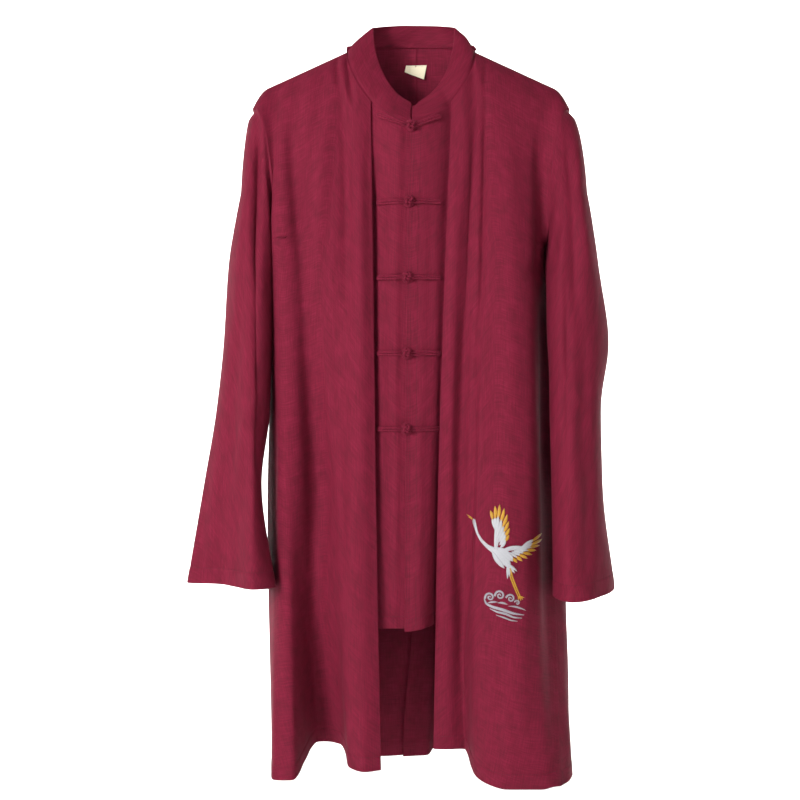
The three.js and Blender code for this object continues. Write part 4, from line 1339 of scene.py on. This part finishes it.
@dataclass(frozen=True)
class WovenCloth:
    """Plain-woven cotton and linen, dyed in the piece: matt, with uneven threads that mottle its colour.

    The thread pitch is 0.45 mm in the real cloth and too fine to show, so it is drawn at 2.4 mm; slubs are 1 to 2 mm
    thick and 15 to 40 mm long.
    """

    name: str
    base: str
    dark: str
    light: str
    pitch: float = 2.4
    relief: float = 0.1
    roughness: float = 0.86
    sheen: float = 0.08

    def material(self) -> Material:
        """Builds the material."""
        material, tree = new_material(self.name)
        flat = node(tree, "ShaderNodeUVMap", {"uv_map": "flat_cloth"}).outputs["UV"]
        streaks = []
        for scale in ((700.0, 42.0, 1.0), (42.0, 700.0, 1.0)):
            place = node(tree, "ShaderNodeMapping", None, Vector=flat, Scale=scale, Location=(3.1, 1.7, 0.0))
            streaks.append(noise(tree, place.outputs["Vector"], 1.0, Detail=2.0))
        mottle = noise(tree, flat, 55.0, Detail=3.0, Roughness=0.6)
        slubs = maths(tree, "ADD", *streaks)
        tone = maths(tree, "MULTIPLY_ADD", mottle, 0.32, maths(tree, "MULTIPLY", slubs, 0.34))
        crossed = maths(tree, "MULTIPLY", *self._threads(tree, flat))
        weave = maths(tree, "MULTIPLY_ADD", crossed, 0.25, 0.5)
        surface(
            tree,
            maths(tree, "MULTIPLY_ADD", slubs, 0.5, weave),
            self.relief,
            Base_Color=tinted(tree, tone, ((0.36, self.dark), (0.5, self.base), (0.64, self.light))),
            Roughness=self.roughness,
            Specular_IOR_Level=0.22,
            Sheen_Weight=self.sheen,
            Sheen_Roughness=0.45,
            Sheen_Tint=colour(self.light),
        )
        return material

    def _threads(self, tree: Tree, flat: Socket) -> list[Socket]:
        """The waves of the two sets of threads that cross."""
        split = node(tree, "ShaderNodeSeparateXYZ", None, Vector=flat).outputs
        return [ribs(tree, split[axis], self.pitch) for axis in (0, 1)]


BURGUNDY = WovenCloth("burgundy_cotton_linen_plain_weave", "#600923", "#54081e", "#6b0f2a")
CORD = WovenCloth("burgundy_bias_cut_cord", "#620c25", "#56091f", "#70132e", pitch=1.2, relief=0.06)


@dataclass(frozen=True)
class Thread:
    """Spun or filament thread laid side by side: a soft gloss, with fine ribs where it is pitch mm thick, and painted
    shade darkening the grooves between the ribs.
    """

    name: str
    base: str
    dark: str
    pitch: float
    roughness: float
    sheen: float = 0.1
    relief: float = 0.1

    def material(self) -> Material:
        """Builds the material."""
        material, tree = new_material(self.name)
        flat = node(tree, "ShaderNodeUVMap", {"uv_map": "flat_cloth"}).outputs["UV"]
        along = node(tree, "ShaderNodeSeparateXYZ", None, Vector=flat).outputs["Y"]
        rib = maths(tree, "MULTIPLY_ADD", ribs(tree, along, self.pitch), 0.5, 0.5)
        # Painted shade: the colour falls to the dark tone in the low grooves between the ribs, with a fine random
        # mottle over it.
        painted_groove_shade_and_mottle = maths(tree, "MULTIPLY", rib, noise(tree, flat, 900.0))
        surface(
            tree,
            rib,
            self.relief,
            Base_Color=tinted(tree, painted_groove_shade_and_mottle, ((0.0, self.dark), (0.35, self.base))),
            Roughness=self.roughness,
            Specular_IOR_Level=0.35,
            Sheen_Weight=self.sheen,
        )
        return material


SEWING = Thread("burgundy_polyester_sewing_thread", "#4c0c1d", "#3a0815", 0.5, 0.9, 0.0)
WHITE_SILK = Thread("white_rayon_embroidery_thread", "#adadb1", "#83838b", 0.8, 0.42)
GOLD_SILK = Thread("gold_rayon_embroidery_thread", "#b98a1c", "#855c0c", 0.8, 0.4)
GREY_SILK = Thread("pale_grey_rayon_embroidery_thread", "#96969e", "#696972", 0.8, 0.42)
TAPE = Thread("cream_woven_satin_tape", "#e6dcc2", "#cfc4a8", 0.6, 0.5)


def show(piece: Object, material: Material, slot: str | None, *nodes: str) -> Object:
    """Dresses a piece, fixes it to the body, and lets it stand for its solids.

    Args:
        piece: the new object.
        material: its finish.
        slot: the name of a material slot; not used.
        nodes: the solids that it stands for.

    Returns:
        The piece.
    """
    piece.data.materials.append(material)
    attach(piece, "root")
    if nodes:
        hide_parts(*nodes)
    return piece


# The creases of each piece, as rows in the order of Crease's own fields.
CREASES: dict[str, list[Crease]] = {
    name: [Crease(*row) for row in rows]
    for name, rows in {
        "long_front_right": (
            (-187, -70, -174, -330, 2.2, 5, 2), (-178, -110, -156, -720, 11, 22, -6),
            (-165, -105, -152, -300, -3, 6, 2), (-138, -130, -112, -760, -9, 24), (-138, -380, -116, -740, -3.6, 13),
            (-104, -6, -99, -60, -3.3, 4, 1), (-96, -8, -91, -70, 2.4, 4), (-89, -6, -79, -85, -3.9, 4.5, 1.5),
            (-93, -60, -87, -380, -2.7, 6, -2), (-100, -380, -92, -760, -1.8, 8), (-120, -90, -126, -330, 1.8, 11),
            (-70, -140, -66, -420, 1.8, 6), (-180, -560, -170, -930, 2.4, 9, 3), (-78, -560, -84, -960, 2.2, 9),
        ),
        "long_front_left": (
            (102, -58, 92, -400, -6.8, 5, 1), (90, -320, 68, -860, -6.4, 4.8, -2), (78, -80, 70, -420, 3, 7),
            (104, -10, 100, -62, -2.7, 4), (88, -8, 94, -75, 1.9, 4), (176, -100, 172, -360, -3.2, 8, 2),
            (178, -300, 184, -640, -3.8, 8, -3), (128, -80, 132, -520, 1.8, 13, 3), (156, -150, 160, -700, 4.5, 14),
            (120, -800, 112, -985, -2.7, 10), (150, -640, 146, -960, 2.4, 10), (60, -120, 50, -460, 1.4, 5),
            (184, -285, 150, -330, -2.2, 6, 2),
        ),
        "half_back_right": (
            (-62, -40, -74, -520, -4.2, 10, 4), (-24, -120, -30, -640, -2.7, 8),
            (-152, -110, -162, -660, -4.8, 11, 3), (-118, -420, -122, -950, 3.9, 12, -3),
            (-92, -20, -78, -90, -2.7, 4.5), (-180, -290, -140, -350, -2.7, 6, 2), (-60, -620, -56, -980, -3.3, 11),
        ),
        "half_back_left": (
            (64, -44, 78, -480, -4.2, 10, -4), (34, -160, 40, -600, 2.4, 9), (150, -120, 166, -600, -4.8, 11, -2),
            (112, -380, 118, -900, 3.6, 12, 4), (94, -20, 82, -86, -2.7, 4.5), (182, -288, 138, -344, -2.7, 6, -2),
            (76, -600, 74, -985, -3.6, 11),
        ),
        "set_sleeve_right": (
            (-210, -104, -207, -360, -10, 5.5, 1), (-201, -92, -192, -330, 7, 5, -1.5),
            (-197, -120, -188, -310, -6.5, 5.5, -1), (-210, -320, -203, -600, -6.5, 7, -2),
            (-232, -360, -246, -600, -3, 9, 3), (-196, -470, -232, -540, 2.7, 8, 3), (-262, -560, -282, -738, 3, 11),
            (-232, -600, -240, -740, -3.8, 11, 2), (-200, -140, -214, -400, -5.7, 8, 3, True),
            (-226, -120, -246, -420, 3.4, 9, 0, True), (-206, -420, -250, -500, -3.4, 8, 3, True),
            (-250, -520, -272, -735, -3.8, 11, 0, True),
        ),
        "set_sleeve_left": (
            (224, -100, 240, -330, 3.7, 8, 3), (212, -112, 218, -380, -4.4, 7, -2),
            (202, -225, 194, -318, -5.1, 4.5, 1), (206, -330, 200, -640, -4.1, 8, -3),
            (236, -380, 228, -620, -2.7, 9, 2), (196, -440, 236, -500, 2.2, 8, 2),
            (240, -560, 232, -748, -4.1, 10, 2), (206, -620, 204, -750, 2.7, 8),
            (202, -140, 216, -400, -5.1, 8, -3, True), (228, -120, 248, -420, 3.1, 9, 0, True),
            (208, -430, 246, -520, -3.1, 8, 2, True), (236, -540, 250, -740, -3.4, 11, 0, True),
        ),
        "short_front_right": (
            (-30, -150, -27, -640, -1.2, 6, 2), (-44, -300, -42, -780, 1.1, 6), (-20, -520, -16, -790, 1.1, 7),
        ),
        "short_front_left": (
            (26, -150, 20, -620, -1.1, 6, -2), (12, -480, 8, -790, 1.1, 6), (34, -240, 26, -760, 1, 7),
        ),
    }.items()
}


Part = BodyPanel | Sleeve | InnerFront | Collar


class Robe:
    """The whole robe, piece by piece."""

    def __init__(self) -> None:
        """Makes the finishes that the pieces share."""
        self.cloth = BURGUNDY.material()
        self.cord = CORD.material()
        self.thread = SEWING.material()
        self.inner = {
            Side.RIGHT: InnerFront("short_front_right", Side.RIGHT, FRONT_RIGHT, 21, (0.105, 0.70)),
            Side.LEFT: InnerFront("short_front_left", Side.LEFT, FRONT_LEFT, 22, (0.10, 0.71)),
        }

    def build(self) -> None:
        """Builds and dresses every piece."""
        panels = (
            BodyPanel("long_front_right", FRONT_RIGHT, 11, (0.26, 1.0)),
            BodyPanel("long_front_left", FRONT_LEFT, 12, (0.26, 1.0)),
            BodyPanel("half_back_right", BACK_RIGHT, 13, (0.28, 1.04)),
            BodyPanel("half_back_left", BACK_LEFT, 14, (0.32, 1.04)),
        )
        for panel, solid in zip(panels, ("front_right", "front_left", "back_right", "back_left")):
            piece, sewn = self.hang(panel, solid)
            if panel.name == "long_front_left":
                sewn += self.embroider(piece)
        self.add(Sleeve("set_sleeve_right", SLEEVE_RIGHT, Side.RIGHT, 31, (0.42, 0.56), near_body=1.6), "sleeve_right")
        self.add(Sleeve("set_sleeve_left", SLEEVE_LEFT, Side.LEFT, 32, (0.42, 0.56)), "sleeve_left")
        self.fasten()
        self.add(Collar(self.inner), "collar", COLLAR_SHELL)
        self.label()

    def add(self, part: Part, solid: str, thickness: float = SHELL) -> None:
        piece, sewn = self.hang(part, solid, thickness)

    def hang(self, part: Part, solid: str, thickness: float = SHELL) -> tuple[Object, list[Object]]:
        """Makes one piece of cloth and its stitches.

        Args:
            part: what gives its form.
            solid: the solid that it stands for.
            thickness: of its cloth, in mm.

        Returns:
            The piece, and what is sewn on it.
        """
        cloth = part.shape()
        piece = show(make_mesh(part.name, cloth.shell(thickness)), self.cloth, "robe_cloth", solid)
        sewn = []
        if cloth.seams:
            sewn.append(show(make_mesh(part.name + "_stitches", cloth.stitches()), self.thread, None))
        return piece, sewn

    def fasten(self) -> None:
        """Builds both short fronts and the frogs that close them."""
        made = {side: self.hang(inner, "inner_front_" + side.name.lower()) for side, inner in self.inner.items()}
        ground = Ground(*(piece for piece, _ in made.values()))
        for number in range(1, 6):
            frog = Frog(number, ground)
            loop = show(make_mesh(f"frog_ring_{number}", frog.loop()), self.cord, "frog_cord", f"frog_loop_{number}")
            ball = show(make_mesh(f"frog_ball_{number}", *frog.knot()), self.cord, "frog_cord", f"frog_knot_{number}")
            made[Side.RIGHT][1].append(loop)
            made[Side.LEFT][1].append(ball)

    def embroider(self, piece: Object) -> list[Object]:
        """Sews the crane and the cloud on the wearer's left front."""
        motif, ground = Embroidery(), Ground(piece)
        made = []
        for name, parts, origin, finish in (
            ("crane_white", motif.white(), motif.crane, WHITE_SILK),
            ("crane_gold", motif.gold(), motif.crane, GOLD_SILK),
            ("cloud_grey", motif.grey(), motif.cloud, GREY_SILK),
        ):
            shells = motif.shells(ground, parts, origin)
            made.append(show(make_mesh(name, *shells), finish.material(), None))
        return made

    def label(self) -> None:
        """Sews the blank label inside the back."""
        label = NeckLabel()
        cloth = label.shape()
        piece = show(make_mesh("neck_tape", cloth.shell(label.thickness)), TAPE.material(), "label_tape", "neck_label")
        stitches = show(make_mesh("neck_tape_stitches", cloth.stitches(1.8, 1.2, 0.15)), self.thread, None)


class Studio:
    """The camera, the pale floor that turns up into a wall all round, and soft light."""

    eye: Triple = (-0.0154, -1.5, -0.487)
    lens: float = 48.2
    floor_z: float = -1.32
    lamps: tuple[tuple[str, Triple, Triple, float, float], ...] = (
        ("window_from_left", (-1.9, -2.4, 0.25), (0.0, 0.0, -0.5), 0.9, 122.0),
        ("fill_from_right", (1.2, -3.0, 0.2), (0.0, 0.0, -0.5), 2.2, 8.0),
        ("wall_light_left", (-1.7, 1.3, 1.0), (-1.4, 5.0, 0.0), 1.8, 230.0),
        ("wall_light_right", (1.7, 1.3, 1.0), (1.4, 5.0, 0.0), 1.8, 230.0),
    )
    sky: float = 0.06

    def build(self) -> None:
        """Sets up everything that isn't the robe."""
        camera = bpy.data.objects.new("camera", bpy.data.cameras.new("camera"))
        camera.data.lens, camera.data.sensor_width = self.lens, 36.0
        camera.location = self.eye
        camera.rotation_euler = (math.pi / 2, 0.0, 0.0)
        bpy.context.scene.collection.objects.link(camera)
        bpy.context.scene.camera = camera
        self.bowl()
        for lamp in self.lamps:
            self.lamp(*lamp)
        bpy.context.scene.view_settings.view_transform = "Standard"
        world = bpy.data.worlds.new("studio")
        bpy.context.scene.world = world
        world.use_nodes = True
        sky = world.node_tree.nodes["Background"].inputs
        sky["Color"].default_value, sky["Strength"].default_value = (1.0, 1.0, 1.0, 1.0), self.sky

    def lamp(self, name: str, place: Triple, aim: Triple, size: float, power: float) -> None:
        """Adds a square soft light aimed at a point."""
        light = bpy.data.lights.new(name, "AREA")
        light.shape, light.size, light.energy = "SQUARE", size, power
        lamp = bpy.data.objects.new(name, light)
        lamp.location = place
        lamp.rotation_mode = "QUATERNION"
        lamp.rotation_quaternion = (Vector(aim) - Vector(place)).to_track_quat("-Z", "Y")
        bpy.context.scene.collection.objects.link(lamp)

    def bowl(self) -> None:
        """A pale floor that curves up into a wall all round, so that no edge shows from any side."""
        turn = np.linspace(0, np.pi / 2, 13)
        radius = np.concatenate([[0.0, 1500.0, 3200.0], 3600 + 1400 * np.sin(turn), [5000.0]])
        height = np.concatenate([[0.0, 0.0, 0.0], 1400 - 1400 * np.cos(turn), [5200.0]]) + self.floor_z / MM
        angle = np.linspace(0, 2 * np.pi, 73)[:-1]
        points = np.stack(
            [np.outer(radius, np.cos(angle)), np.outer(radius, np.sin(angle)), np.outer(height, 0 * angle + 1)], -1
        )
        number = np.arange(len(radius) * len(angle)).reshape(len(radius), -1)
        number = np.concatenate([number, number[:, :1]], 1)
        data = bpy.data.meshes.new("studio_bowl")
        data.from_pydata((points.reshape(-1, 3) * MM).tolist(), [], quads(number)[:, ::-1].tolist())
        data.shade_smooth()
        bowl = bpy.data.objects.new("studio_bowl", data)
        bpy.context.scene.collection.objects.link(bowl)
        material, tree = new_material("pale_paper")
        shader = node(tree, "ShaderNodeBsdfPrincipled", None, Base_Color=colour("#f4f4f2"), Roughness=0.9)
        node(tree, "ShaderNodeOutputMaterial", None, Surface=shader.outputs["BSDF"])
        data.materials.append(material)


def main() -> None:
    """Builds the studio and the robe."""
    logging.basicConfig(level=logging.INFO, format="%(message)s")
    Studio().build()
    Robe().build()


if __name__ == "__main__":
    main()
